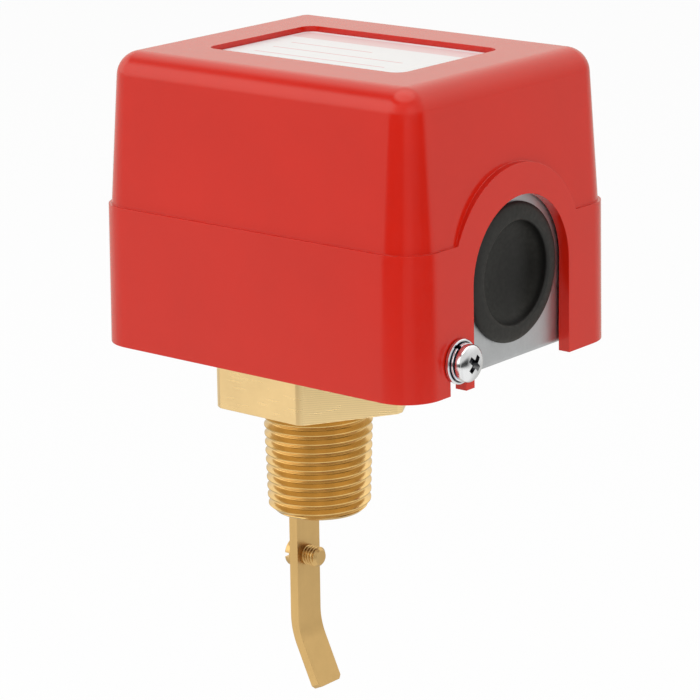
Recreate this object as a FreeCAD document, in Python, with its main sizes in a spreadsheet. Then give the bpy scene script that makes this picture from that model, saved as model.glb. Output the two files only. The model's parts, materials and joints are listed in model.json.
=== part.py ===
import FreeCAD, Part
import math
import os
import re
import Sketcher
from FreeCAD import Placement, Rotation, Vector

# Paddle flow switch: a brass body screwed into a pipe tee carries a bellows-sealed lever.
# Flow pushes the paddle arm towards +X, the lever lifts the plunger of a snap-action switch,
# and a range spring brings it back. A steel chassis holds the mechanism under a lift-off cover.
# Frame: origin on the pipe thread's axis at the hexagon's underside, +Z up, +X to the cable entry.
# Lengths are millimetres and angles are degrees.

DOC = FreeCAD.newDocument("PaddleFlowSwitch")
SHEET = DOC.addObject("Spreadsheet::Sheet", "Sizes")

SIZES = [
    # pipe connection and water chamber
    ("hex_across_flats", 36.5, "brass hexagon across its flats"),
    ("hex_height", 14.6, "brass hexagon height, up to the chassis"),
    ("hex_chamfer", 0.9, "bevel on the hexagon's upright corners"),
    ("thread_radius", 10.48, "outer radius of the 1/2 inch pipe thread"),
    ("thread_length", 23.0, "threaded spigot below the hexagon"),
    ("thread_chamfer", 1.0, "bevel at the spigot's lower end"),
    ("bore_radius", 7.9, "water bore through the spigot"),
    ("chamber_radius", 11.0, "chamber round the bellows"),
    ("chamber_floor", 1.0, "height of the chamber's floor"),
    ("seal_radius", 13.1, "outer radius of gasket and bellows flange"),
    ("seal_gap", 0.1, "radial play of the gasket in its recess"),
    ("gasket_thickness", 0.8, "body gasket"),
    ("flange_thickness", 0.6, "bellows flange"),
    # bellows and lever stem
    ("bellows_outer", 8.6, "radius over the bellows' crests"),
    ("bellows_inner", 6.4, "radius in the bellows' roots"),
    ("bellows_wall", 0.25, "bellows wall thickness"),
    ("bellows_turns", 4, "number of convolutions"),
    ("cap_radius", 6.9, "stem cap that closes the bellows"),
    ("cap_top", 4.6, "height of the cap's upper face"),
    ("cap_thickness", 2.0, "stem cap"),
    ("stem_radius", 4.5, "round stem below the cap"),
    ("stem_flat", 3.1, "distance from axis to the flat that takes the arm"),
    ("stem_back", 2.0, "distance from axis to the flat behind"),
    ("stem_bottom", -15.0, "lower end of the stem"),
    ("rod_radius", 2.5, "steel rod inside the bellows"),
    ("rod_top", 33.0, "upper end of the rod"),
    ("rod_socket", 1.2, "depth of the rod's seat in the cap"),
    # paddle arm
    ("arm_width", 7.0, "flat brass arm, along Y"),
    ("arm_thickness", 2.0, "flat brass arm"),
    ("arm_top", 2.3, "upper end of the arm"),
    ("arm_bend_height", -45.9, "where the arm's bend starts"),
    ("arm_bend_radius", 13.0, "inner radius of the bend"),
    ("arm_bend_angle", 25.0, "bend towards +X"),
    ("arm_tip_length", 9.6, "straight tip after the bend"),
    ("arm_corner", 0.7, "bevel on the tip's corners"),
    ("rivet_radius", 1.0, "arm rivet"),
    ("rivet_head", 1.8, "arm rivet head radius"),
    ("rivet_head_height", 0.8, "arm rivet head"),
    ("rivet_upper", -5.0, "height of the upper rivet"),
    ("rivet_pitch", 6.0, "distance between the rivets"),
    ("paddle_screw_height", -33.8, "height of the screw that clamps a paddle"),
    ("paddle_screw_radius", 2.0, "M4"),
    ("paddle_screw_length", 5.2, "under the head"),
    ("paddle_head_radius", 2.9, "slotted head"),
    ("paddle_head_height", 1.9, "slotted head"),
    ("thread_play", 0.02, "play between a screw and its tapped hole"),
    # chassis
    ("sheet", 1.5, "chassis and bracket sheet"),
    ("chassis_front", 46.15, "outer face of the cable entry end"),
    ("chassis_back", -26.4, "outer face of the other end"),
    ("chassis_width", 48.0, "chassis base along Y"),
    ("bend_radius", 1.2, "outside radius of the chassis bends"),
    ("front_shoulder", 11.5, "height of the wide part of the cable entry end"),
    ("front_arch_radius", 17.0, "arch round the cable entry"),
    ("back_width", 28.0, "width of the other end"),
    ("back_height", 13.5, "height of the other end"),
    ("sheet_corner", 3.0, "rounded corners of sheet parts"),
    ("mouth_radius", 7.2, "hole over the bellows' mouth"),
    ("collar_radius", 3.2, "drawn collar round a tapped hole"),
    ("collar_length", 2.0, "drawn collar round a tapped hole"),
    # cable entry
    ("entry_y", 1.0, "cable entry's centre along Y"),
    ("entry_height", 31.8, "cable entry's centre"),
    ("grommet_rim", 13.4, "grommet rim radius"),
    ("grommet_rim_thickness", 1.25, "grommet rim in front of the sheet"),
    ("grommet_waist", 11.0, "grommet radius in the sheet's hole"),
    ("grommet_lip", 12.4, "grommet lip behind the sheet"),
    ("grommet_lip_thickness", 1.2, "grommet lip"),
    ("grommet_bore", 9.8, "recess for the cable"),
    ("grommet_depth", 5.2, "recess from the rim's face to the membrane"),
    ("membrane", 1.0, "blind membrane"),
    # cover
    ("cover_length", 78.5, "over the skirt, along X"),
    ("cover_width", 64.1, "over the skirt, along Y"),
    ("cover_height", 56.85, "underside to top"),
    ("cover_x", 9.85, "cover's centre from the thread axis"),
    ("cover_underside", 13.4, "height of the cover's rim"),
    ("skirt_height", 27.4, "deeper lower part of the cover"),
    ("skirt_step", 0.6, "how far the skirt stands out"),
    ("skirt_draft", 0.7, "draft of the skirt"),
    ("hood_draft", 4.0, "draft of the upper walls"),
    ("cover_corner", 7.7, "vertical corner radius at the rim"),
    ("cover_wall", 2.5, "side walls"),
    ("cover_top_wall", 3.0, "top wall"),
    ("top_round", 4.9, "rounded edge of the top"),
    ("inner_round", 3.0, "rounded edge inside the top"),
    ("band_radius", 20.1, "raised arch round the cable opening"),
    ("band_height", 19.4, "arch centre above the rim"),
    ("opening_radius", 15.0, "cable opening"),
    ("seat_gap", 0.4, "cover to chassis end"),
    ("seat_side_gap", 0.6, "cover to the chassis end's edges"),
    ("slot_width", 4.66, "slots for the cover screws"),
    ("slot_height", 6.2, "slot centre above the rim"),
    ("front_slot_y", -18.9, "cover screw beside the cable opening"),
    ("back_slot_y", 0.0, "cover screw at the other end"),
    ("label_length", 46.9, "recess for the name label, along X"),
    ("label_width", 30.9, "recess for the name label, along Y"),
    ("label_corner", 2.5, "corner radius of the recess"),
    ("label_depth", 1.45, "recess for the name label"),
    ("label_thickness", 0.4, "name label"),
    ("label_gap", 0.25, "label to the recess walls"),
    # fasteners
    ("m4_radius", 2.0, "M4 shank"),
    ("m4_head", 3.5, "M4 pan head radius"),
    ("m4_head_height", 2.1, "M4 pan head"),
    ("m3_radius", 1.5, "M3 shank"),
    ("m3_head", 2.7, "M3 head radius"),
    ("m3_head_height", 1.7, "M3 head"),
    ("clearance_hole", 0.2, "radial clearance of a screw in a through hole"),
    ("washer_radius", 4.2, "M4 flat washer"),
    ("washer_thickness", 0.7, "M4 flat washer"),
    ("spring_washer_radius", 3.6, "M4 spring washer"),
    ("spring_washer_thickness", 0.9, "M4 spring washer"),
    ("washer_gap", 0.1, "flat washer to the cover, so that the cover lifts"),
    ("cover_screw_length", 9.0, "under the head"),
    ("foot_screw_length", 3.2, "under the head"),
    ("body_screw_x", 11.0, "body screws from the axis, along X and Y"),
    ("body_screw_length", 10.0, "under the head"),
    ("tapped_depth", 9.0, "tapped holes in the brass body"),
    # pivot
    ("pivot_height", 21.5, "lever pivot above the hexagon's underside"),
    ("pivot_plate_width", 29.6, "pivot bracket base"),
    ("ear_inner", 4.4, "inner face of the pivot ears"),
    ("ear_radius", 3.2, "half width of the ears"),
    ("pin_radius", 1.5, "pivot pin"),
    ("pin_half_length", 7.0, "pivot pin"),
    ("pin_running_gap", 0.05, "lever and rod on the pivot pin"),
    ("clip_radius", 3.0, "pin retaining rings"),
    ("clip_thickness", 0.6, "pin retaining rings"),
    # lever
    ("cheek_inner", 2.8, "inner face of the lever's cheeks"),
    ("cheek_thickness", 1.2, "lever's cheeks"),
    ("cheek_radius", 3.5, "rounded end of the cheeks"),
    ("lever_top", 27.3, "upper face of the lever"),
    ("lever_back", -7.0, "lever's end on the -X side"),
    ("lever_reach", 23.0, "lever's end on the +X side"),
    ("lever_half_width", 5.0, "lever beside the axis"),
    ("tongue_width", 6.0, "tongue under the plunger, along X"),
    ("tongue_overhang", 3.7, "tongue past the plunger, along Y"),
    ("nut_flats", 8.0, "rod nut across flats"),
    ("nut_height", 4.0, "rod nut"),
    # range spring
    ("range_x", 13.0, "range spring's axis"),
    ("spring_radius", 4.0, "range spring's mean radius"),
    ("spring_wire", 0.45, "range spring's wire radius"),
    ("spring_turns", 6.5, "range spring's turns"),
    ("seat_top", 44.0, "spring seat's upper face at rest"),
    ("seat_thickness", 4.0, "spring seat"),
    ("seat_radius", 5.2, "spring seat"),
    ("seat_tab_width", 3.6, "tab that keeps the seat from turning"),
    ("seat_travel", 2.8, "spring seat's travel"),
    ("shelf_top", 54.5, "upper face of the shelf that holds the range screw"),
    ("shelf_reach", 7.0, "shelf's end on the -Y side"),
    ("shelf_half_length", 10.0, "shelf along X from the screw"),
    ("range_head_radius", 4.8, "range screw head"),
    ("range_head_height", 4.0, "range screw head"),
    ("range_screw_end", 31.0, "lower end of the range screw"),
    ("range_slot_width", 1.2, "screwdriver slot of the range screw"),
    ("range_slot_depth", 1.5, "screwdriver slot of the range screw"),
    ("spring_boss_radius", 3.1, "bosses that centre the range spring"),
    ("spring_boss_height", 0.8, "bosses that centre the range spring"),
    ("ring_radius", 3.6, "retaining ring under the shelf"),
    ("ring_thickness", 0.7, "retaining ring under the shelf"),
    ("turning_gap", 0.06, "range screw in its holes"),
    ("face_gap", 0.1, "between faces that slide"),
    # switch bracket and switch
    ("wall_y", 7.5, "switch bracket's inner face"),
    ("wall_bottom", 30.8, "lower edge of the bracket between its legs"),
    ("wall_margin", 4.0, "bracket beside the shelf, above the switch screws"),
    ("wall_left", -23.0, "bracket's end on the -X side"),
    ("wall_right", 34.0, "bracket's end on the +X side"),
    ("left_leg", 7.5, "width of the left leg"),
    ("right_leg", 9.0, "width of the right leg"),
    ("foot_reach", 20.0, "end of the feet along Y"),
    ("foot_screw_y", 15.0, "foot screws"),
    ("switch_x", 6.0, "switch centre along X"),
    ("switch_length", 49.2, "switch case"),
    ("switch_room", 6.55, "outside of the cover's side to the switch case"),
    ("switch_lid", 2.2, "lid of the switch case"),
    ("switch_bottom", 32.2, "underside of the switch case"),
    ("switch_height", 20.0, "switch case"),
    ("switch_gap", 0.1, "switch to bracket"),
    ("switch_screw_pitch", 25.4, "mounting holes"),
    ("switch_screw_height", 44.0, "mounting holes"),
    ("switch_corner", 1.2, "rounded corners of the switch case"),
    ("switch_nut_flats", 7.0, "nuts of the switch screws"),
    ("switch_nut_height", 2.0, "nuts of the switch screws"),
    ("plunger_x", 20.0, "plunger"),
    ("plunger_radius", 1.9, "plunger"),
    ("plunger_length", 9.0, "plunger"),
    ("plunger_gap", 0.25, "plunger tip to the lever"),
    ("plunger_play", 0.08, "plunger in its bore"),
    ("plunger_travel", 2.2, "plunger stroke"),
    ("plunger_guide_radius", 3.6, "guide round the plunger"),
    ("plunger_guide_height", 1.0, "guide round the plunger"),
    ("terminal_width", 7.0, "terminals, along Y"),
    ("terminal_thickness", 1.0, "terminals"),
    ("terminal_reach", 6.6, "how far the terminals stand out"),
    ("terminal_low", 37.0, "underside of the lower terminals"),
    ("terminal_rise", 9.0, "upper terminal above the lower one"),
    ("terminal_screw_length", 4.0, "under the head"),
    # earth terminal
    ("earth_x", 36.0, "earth screw"),
    ("earth_y", -14.0, "earth screw"),
    ("earth_washer_radius", 4.6, "cupped earth washer"),
    ("earth_washer_thickness", 1.0, "cupped earth washer"),
    ("earth_screw_length", 3.0, "under the head"),
]

for row, (alias, size, note) in enumerate(SIZES, start=1):
    SHEET.set("A%d" % row, note)
    SHEET.set("B%d" % row, str(size))
    SHEET.setAlias("B%d" % row, alias)
DOC.recompute()

ALIASES = {alias for alias, size, note in SIZES}
BODY_SCREWS = [(x, y) for x in ("body_screw_x", "-body_screw_x") for y in ("body_screw_x", "-body_screw_x")]
BASE_TOP = "hex_height + sheet"
LEFT_FOOT = "wall_left + left_leg / 2"
RIGHT_FOOT = "wall_right - right_leg / 2"
WALL_TOP = "switch_screw_height + wall_margin"
COVER_SCREW_Z = "cover_underside + slot_height"
SWITCH_FACE = "wall_y + sheet + switch_gap"
SWITCH_FAR = "cover_width / 2 - switch_room"
SWITCH_DEPTH = "(%s - (%s))" % (SWITCH_FAR, SWITCH_FACE)
SWITCH_SCREWS = ("switch_x - switch_screw_pitch / 2", "switch_x + switch_screw_pitch / 2")
PLUNGER_Y = "%s + %s / 2" % (SWITCH_FACE, SWITCH_DEPTH)
PLUNGER_TIP = "lever_top + plunger_gap"

FULL_TURN = 360
ALONG_X = Rotation(Vector(0, 1, 0), 90)
AGAINST_X = Rotation(Vector(0, 1, 0), -90)
ALONG_Y = Rotation(Vector(1, 0, 0), -90)
UPRIGHT = Rotation()


# ---------------------------------------------------------------- helpers

def cells(text):
    """The expression with each size name pointed at its cell."""
    return re.sub(r"[a-z][a-z0-9_]*",
                  lambda word: "Sizes." + word.group() if word.group() in ALIASES else word.group(),
                  text)


def number(text):
    """The present value of an expression."""
    found = SHEET.evalExpression(cells(text))
    return float(getattr(found, "Value", found))


def bind(thing, prop, text):
    thing.setExpression(prop, cells(text))


def place(thing, x="0", y="0", z="0", turn=UPRIGHT):
    """Puts an object at a bound position, turned as told."""
    thing.Placement = Placement(Vector(number(x), number(y), number(z)), turn)
    for axis, text in zip("xyz", (x, y, z)):
        if text != "0":
            bind(thing, "Placement.Base." + axis, text)
    return thing


def new_body(label, x="0", y="0", z="0", turn=UPRIGHT):
    body = DOC.addObject("PartDesign::Body", label)
    body.Label = label
    return place(body, x, y, z, turn)


def new_sketch(body, plane="XY_Plane", lift="0"):
    """A sketch on one of the body's origin planes, lifted along the plane's normal."""
    sketch = body.newObject("Sketcher::SketchObject", body.Name + "_sketch")
    support = [f for f in body.Origin.OriginFeatures if f.Role == plane][0]
    sketch.AttachmentSupport = [(support, "")]
    sketch.MapMode = "FlatFace"
    if lift != "0":
        bind(sketch, "AttachmentOffset.Base.z", lift)
    return sketch


def hold(sketch, curve, point, x, y):
    """Ties a point of a curve to bound distances from the sketch's origin."""
    for kind, axis, text in (("DistanceX", -2, x), ("DistanceY", -1, y)):
        if text == "0":
            sketch.addConstraint(Sketcher.Constraint("PointOnObject", curve, point, axis))
        else:
            size(sketch, Sketcher.Constraint(kind, -1, 1, curve, point, number(text)), text)


def size(sketch, constraint, text):
    index = sketch.addConstraint(constraint)
    bind(sketch, "Constraints[%d]" % index, text)


def polygon(sketch, corners):
    """A closed outline of straight lines through bound corners."""
    spots = [Vector(number(x), number(y), 0) for x, y in corners]
    first = sketch.GeometryCount
    count = len(spots)
    for i in range(count):
        sketch.addGeometry(Part.LineSegment(spots[i], spots[(i + 1) % count]))
    for i in range(count):
        joined = Sketcher.Constraint("Coincident", first + i, 2, first + (i + 1) % count, 1)
        sketch.addConstraint(joined)
    for i, (x, y) in enumerate(corners):
        hold(sketch, first + i, 1, x, y)


def circle(sketch, x, y, radius):
    centre = Vector(number(x), number(y), 0)
    ring = sketch.addGeometry(Part.Circle(centre, Vector(0, 0, 1), number(radius)))
    hold(sketch, ring, 3, x, y)
    size(sketch, Sketcher.Constraint("Radius", ring, number(radius)), radius)


def rounded_box(sketch, length, width, radius, x="0", y="0"):
    """A rectangle with round corners, centred on a bound point."""
    half_x, half_y, r = number(length) / 2, number(width) / 2, number(radius)
    mid_x, mid_y = number(x), number(y)
    first = sketch.GeometryCount
    for quarter in range(4):
        side_x = (1, -1, -1, 1)[quarter]
        side_y = (1, 1, -1, -1)[quarter]
        centre = Vector(mid_x + side_x * (half_x - r), mid_y + side_y * (half_y - r), 0)
        start = quarter * math.pi / 2
        round_corner = Part.Circle(centre, Vector(0, 0, 1), r)
        sketch.addGeometry(Part.ArcOfCircle(round_corner, start, start + math.pi / 2))
    for quarter in range(4):
        here = sketch.Geometry[first + quarter].EndPoint
        there = sketch.Geometry[first + (quarter + 1) % 4].StartPoint
        sketch.addGeometry(Part.LineSegment(here, there))
    for quarter in range(4):
        side = first + 4 + quarter
        following = first + (quarter + 1) % 4
        sketch.addConstraint(Sketcher.Constraint("Tangent", first + quarter, 2, side, 1))
        sketch.addConstraint(Sketcher.Constraint("Tangent", side, 2, following, 1))
        kind = "Horizontal" if quarter % 2 == 0 else "Vertical"
        sketch.addConstraint(Sketcher.Constraint(kind, side))
    for quarter in range(1, 4):
        sketch.addConstraint(Sketcher.Constraint("Equal", first, first + quarter))
    size(sketch, Sketcher.Constraint("Radius", first, r), radius)
    top, left, bottom, right = (first + 4 + i for i in range(4))
    for side, text in ((right, "%s + (%s) / 2" % (x, length)), (left, "%s - (%s) / 2" % (x, length))):
        size(sketch, Sketcher.Constraint("DistanceX", -1, 1, side, 1, number(text)), text)
    for side, text in ((top, "%s + (%s) / 2" % (y, width)), (bottom, "%s - (%s) / 2" % (y, width))):
        size(sketch, Sketcher.Constraint("DistanceY", -1, 1, side, 1, number(text)), text)


def arch(sketch, x, y, radius, foot):
    """A half round with two upright sides that end on a level foot, below or above it."""
    mid_x, mid_y, r = number(x), number(y), number(radius)
    end = number(foot)
    hanging = end > mid_y
    start = math.pi if hanging else 0
    reach = r if hanging else -r
    crown = Part.Circle(Vector(mid_x, mid_y, 0), Vector(0, 0, 1), r)
    arc = sketch.addGeometry(Part.ArcOfCircle(crown, start, start + math.pi))
    corners = [Vector(mid_x + reach, mid_y, 0), Vector(mid_x + reach, end, 0),
               Vector(mid_x - reach, end, 0), Vector(mid_x - reach, mid_y, 0)]
    for here, there in zip(corners, corners[1:]):
        sketch.addGeometry(Part.LineSegment(here, there))
    away, base, back = arc + 1, arc + 2, arc + 3
    sketch.addConstraint(Sketcher.Constraint("Tangent", arc, 2, away, 1))
    sketch.addConstraint(Sketcher.Constraint("Coincident", away, 2, base, 1))
    sketch.addConstraint(Sketcher.Constraint("Coincident", base, 2, back, 1))
    sketch.addConstraint(Sketcher.Constraint("Tangent", back, 2, arc, 1))
    sketch.addConstraint(Sketcher.Constraint("Vertical", away))
    sketch.addConstraint(Sketcher.Constraint("Vertical", back))
    sketch.addConstraint(Sketcher.Constraint("Horizontal", base))
    hold(sketch, arc, 3, x, y)
    size(sketch, Sketcher.Constraint("Radius", arc, r), radius)
    size(sketch, Sketcher.Constraint("DistanceY", -1, 1, base, 1, end), foot)


def pad(body, sketch, length, taper=None, other_way=False, both_ways=False):
    """Adds material along the sketch's normal; other_way turns it round."""
    return extrusion(body, "PartDesign::Pad", sketch, length, taper, other_way, both_ways)


def pocket(body, sketch, length, taper=None, other_way=False, both_ways=False):
    """Cuts against the sketch's normal; other_way turns it round. It has to remove something."""
    before = body.Shape.Volume
    cut = extrusion(body, "PartDesign::Pocket", sketch, length, taper, other_way, both_ways)
    if body.Shape.Volume >= before:
        raise RuntimeError("a pocket of %s removes nothing" % body.Label)
    return cut


def extrusion(body, kind, sketch, length, taper, other_way, both_ways):
    feature = body.newObject(kind, body.Name + "_feature")
    feature.Profile = sketch
    bind(feature, "Length", length)
    feature.Reversed = other_way
    feature.Midplane = both_ways
    if taper:
        bind(feature, "TaperAngle", taper)
    sketch.Visibility = False
    DOC.recompute()
    return feature


def turn(body, sketch, cut=False):
    """Revolves the sketch a full turn about its own upright axis."""
    kind = "PartDesign::Groove" if cut else "PartDesign::Revolution"
    feature = body.newObject(kind, body.Name + "_turned")
    feature.Profile = sketch
    feature.ReferenceAxis = (sketch, ["V_Axis"])
    feature.Angle = FULL_TURN
    sketch.Visibility = False
    DOC.recompute()
    return feature


def turned(label, profile, x="0", y="0", z="0", rotation=UPRIGHT):
    """A turned piece: its profile is (radius, height) corners."""
    body = new_body(label, x, y, z, rotation)
    sketch = new_sketch(body, "XZ_Plane")
    polygon(sketch, profile)
    turn(body, sketch)
    return body


def edges(shape, test):
    return ["Edge%d" % (i + 1) for i, edge in enumerate(shape.Edges) if test(edge)]


def dress(body, kind, prop, text, test):
    """A fillet or chamfer on the edges of the body's tip that pass the test."""
    tip = body.Tip
    names = edges(tip.Shape, test)
    if not names:
        raise RuntimeError("no edge to dress on " + body.Label)
    feature = body.newObject(kind, body.Name + "_dressed")
    feature.Base = (tip, names)
    bind(feature, prop, text)
    DOC.recompute()
    return feature


def fillet(body, text, test):
    return dress(body, "PartDesign::Fillet", "Radius", text, test)


def chamfer(body, text, test):
    return dress(body, "PartDesign::Chamfer", "Size", text, test)


def near(a, b, slack=1e-3):
    return abs(a - b) < slack


def level(edge, height):
    """An edge that lies wholly at one height."""
    box = edge.BoundBox
    return near(box.ZMin, height) and near(box.ZMax, height)


def upright(edge):
    box = edge.BoundBox
    return near(box.XLength, 0) and near(box.YLength, 0) and box.ZLength > 1e-3


def copies(label, pattern, spots):
    """One node of several separate solids: the pattern at each spot (x, y, z, turn)."""
    links = []
    for x, y, z, rotation in spots:
        link = DOC.addObject("App::Link", label + "_copy")
        link.LinkedObject = pattern
        links.append(place(link, x, y, z, rotation))
    group = DOC.addObject("Part::Compound", label)
    group.Label = label
    group.Links = links
    return group


def pan_screw(label, radius, length, head_radius, head_height):
    """A screw pointing down -Z with the underside of its rounded head at the origin."""
    body = turned(label, [
        ("0", "-(%s)" % length),
        (radius + " * 0.7", "-(%s)" % length),
        (radius, "-(%s) + %s * 0.4" % (length, radius)),
        (radius, "0"),
        (head_radius, "0"),
        (head_radius, head_height + " * 0.45"),
        (head_radius + " * 0.75", head_height + " * 0.9"),
        (head_radius + " * 0.4", head_height),
        ("0", head_height)])
    return body


def ring(label, outer, inner, thickness, x="0", y="0", z="0", rotation=UPRIGHT):
    return turned(label, [
        (inner, "0"), (outer, "0"), (outer, thickness), (inner, thickness)], x, y, z, rotation)


def box_outline(sketch, left, right, low, high):
    polygon(sketch, [(left, low), (right, low), (right, high), (left, high)])


def hexagon(sketch, flats):
    """A regular hexagon on the sketch's origin, with flats towards +Y and -Y."""
    flat, corner = "(%s) / 2" % flats, "(%s) / sqrt(3)" % flats
    half = "(%s) / 2 / sqrt(3)" % flats
    spots = [(corner, "0"), (half, flat), ("-" + half, flat),
             ("-" + corner, "0"), ("-" + half, "-" + flat), (half, "-" + flat)]
    polygon(sketch, spots)


# ---------------------------------------------------------------- pipe connection

def make_brass_body():
    """Hexagon and threaded spigot, bored for water and counterbored for bellows and gasket."""
    body = new_body("brass_body")
    block = new_sketch(body)
    hexagon(block, "hex_across_flats")
    pad(body, block, "hex_height")
    chamfer(body, "hex_chamfer", upright)
    spigot = new_sketch(body)
    circle(spigot, "0", "0", "thread_radius")
    pad(body, spigot, "thread_length", other_way=True)
    chamfer(body, "thread_chamfer", lambda edge: level(edge, -number("thread_length")))
    recess = "hex_height - gasket_thickness - flange_thickness"
    bore = new_sketch(body, "XZ_Plane")
    polygon(bore, [("0", "-thread_length - 1"), ("bore_radius", "-thread_length - 1"),
                   ("bore_radius", "chamber_floor"), ("chamber_radius", "chamber_floor"),
                   ("chamber_radius", recess), ("seal_radius + seal_gap", recess),
                   ("seal_radius + seal_gap", "hex_height + 1"), ("0", "hex_height + 1")])
    turn(body, bore, cut=True)
    holes = new_sketch(body, lift="hex_height")
    for x, y in BODY_SCREWS:
        circle(holes, x, y, "m4_radius + thread_play")
    pocket(body, holes, "tapped_depth")
    return body


def make_gasket():
    return ring("body_gasket", "seal_radius", "chamber_radius", "gasket_thickness",
                z="hex_height - flange_thickness - gasket_thickness")


def make_bellows():
    """A flange and a corrugated tube down to the stem's cap, as one turned profile."""
    turns = int(round(number("bellows_turns")))
    top = "hex_height - flange_thickness"
    pitch = "((%s - cap_top) / %d)" % (top, turns)
    outside, inside = [], []
    for i in range(turns):
        start = "%s - %s * %d" % (top, pitch, i)
        outside += [("bellows_inner", start + " - %s * 0.3" % pitch),
                    ("bellows_outer", start + " - %s * 0.4" % pitch),
                    ("bellows_outer", start + " - %s * 0.9" % pitch),
                    ("bellows_inner", start + " - " + pitch)]
        inside += [("bellows_inner - bellows_wall", start + " - %s * 0.3 - bellows_wall" % pitch),
                   ("bellows_outer - bellows_wall", start + " - %s * 0.4 - bellows_wall" % pitch),
                   ("bellows_outer - bellows_wall", start + " - %s * 0.9 + bellows_wall" % pitch),
                   ("bellows_inner - bellows_wall", start + " - %s + bellows_wall" % pitch)]
    inside[-1] = ("bellows_inner - bellows_wall", "cap_top")
    profile = [("seal_radius", "hex_height"), ("seal_radius", top), ("bellows_inner", top)]
    profile += outside + inside[::-1] + [("bellows_inner - bellows_wall", "hex_height")]
    return turned("bellows", profile)


# ---------------------------------------------------------------- paddle and stem

def make_stem():
    """Turned cap and stem, flattened on two sides, with a seat for the rod."""
    cap_bottom = "cap_top - cap_thickness"
    stem = turned("paddle_stem", [
        ("0", "stem_bottom"), ("stem_radius", "stem_bottom"), ("stem_radius", cap_bottom),
        ("cap_radius", cap_bottom), ("cap_radius", "cap_top"), ("rod_radius", "cap_top"),
        ("rod_radius", "cap_top - rod_socket"), ("0", "cap_top - rod_socket")])
    flats = new_sketch(stem, "XZ_Plane")
    box_outline(flats, "-stem_radius - 1", "-stem_flat", "stem_bottom - 1", cap_bottom)
    box_outline(flats, "stem_back", "stem_radius + 1", "stem_bottom - 1", cap_bottom)
    pocket(stem, flats, "stem_radius * 3", both_ways=True)
    holes = new_sketch(stem, "YZ_Plane")
    circle(holes, "0", "rivet_upper", "rivet_radius")
    circle(holes, "0", "rivet_upper - rivet_pitch", "rivet_radius")
    pocket(stem, holes, "stem_radius * 3", both_ways=True)
    return stem


def make_rod():
    """Steel rod from the cap through the bellows to the lever, drilled for the pivot pin."""
    rod = turned("lever_rod", [
        ("0", "cap_top - rod_socket"), ("rod_radius", "cap_top - rod_socket"),
        ("rod_radius", "rod_top - 0.4"), ("rod_radius - 0.4", "rod_top"), ("0", "rod_top")])
    hole = new_sketch(rod, "XZ_Plane")
    circle(hole, "0", "pivot_height", "pin_radius + pin_running_gap")
    pocket(rod, hole, "rod_radius * 3", both_ways=True)
    return rod


def bent_strip(sketch):
    """The arm's side view: two straight runs joined by one bend towards +X."""
    face, bend = "-stem_flat", "arm_bend_height"
    centre_x = face + " + arm_bend_radius"
    swing = math.radians(number("arm_bend_angle"))
    middle = Vector(number(centre_x), number(bend), 0)
    top = number("arm_top")
    ends = []
    for radius in ("arm_bend_radius", "arm_bend_radius + arm_thickness"):
        r = number(radius)
        curve = Part.Circle(middle, Vector(0, 0, 1), r)
        arc = sketch.addGeometry(Part.ArcOfCircle(curve, math.pi, math.pi + swing))
        start, finish = sketch.Geometry[arc].StartPoint, sketch.Geometry[arc].EndPoint
        tip = finish + Vector(math.sin(swing), -math.cos(swing), 0) * number("arm_tip_length")
        upper = sketch.addGeometry(Part.LineSegment(Vector(start.x, top, 0), start))
        lower = sketch.addGeometry(Part.LineSegment(finish, tip))
        sketch.addConstraint(Sketcher.Constraint("Tangent", upper, 2, arc, 1))
        sketch.addConstraint(Sketcher.Constraint("Tangent", arc, 2, lower, 1))
        sketch.addConstraint(Sketcher.Constraint("Vertical", upper))
        hold(sketch, arc, 3, centre_x, bend)
        size(sketch, Sketcher.Constraint("Radius", arc, r), radius)
        drop = "%s - (%s) * sin(arm_bend_angle)" % (bend, radius)
        size(sketch, Sketcher.Constraint("DistanceY", -1, 1, arc, 2, number(drop)), drop)
        size(sketch, Sketcher.Constraint("DistanceY", -1, 1, upper, 1, top), "arm_top")
        size(sketch, Sketcher.Constraint("Distance", lower, number("arm_tip_length")), "arm_tip_length")
        ends.append((upper, lower))
    for point, side in ((1, 0), (2, 1)):
        inner, outer = ends[0][side], ends[1][side]
        here, there = (sketch.getPoint(inner, point), sketch.getPoint(outer, point))
        across = sketch.addGeometry(Part.LineSegment(here, there))
        sketch.addConstraint(Sketcher.Constraint("Coincident", inner, point, across, 1))
        sketch.addConstraint(Sketcher.Constraint("Coincident", outer, point, across, 2))


def make_arm():
    """Flat brass arm, bent near its tip, drilled for the rivets and tapped for the paddle screw."""
    arm = new_body("paddle_arm")
    side = new_sketch(arm, "XZ_Plane")
    bent_strip(side)
    pad(arm, side, "arm_width", both_ways=True)
    thickness, edge_y = number("arm_thickness"), number("arm_width") / 2
    chamfer(arm, "arm_corner", lambda edge: near(edge.Length, thickness)
            and near(abs(edge.CenterOfMass.y), edge_y) and edge.CenterOfMass.z < number("arm_bend_height"))
    holes = new_sketch(arm, "YZ_Plane", lift="-stem_flat + 1")
    circle(holes, "0", "rivet_upper", "rivet_radius")
    circle(holes, "0", "rivet_upper - rivet_pitch", "rivet_radius")
    circle(holes, "0", "paddle_screw_height", "paddle_screw_radius + thread_play")
    pocket(arm, holes, "arm_thickness + 2")
    return arm


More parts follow.
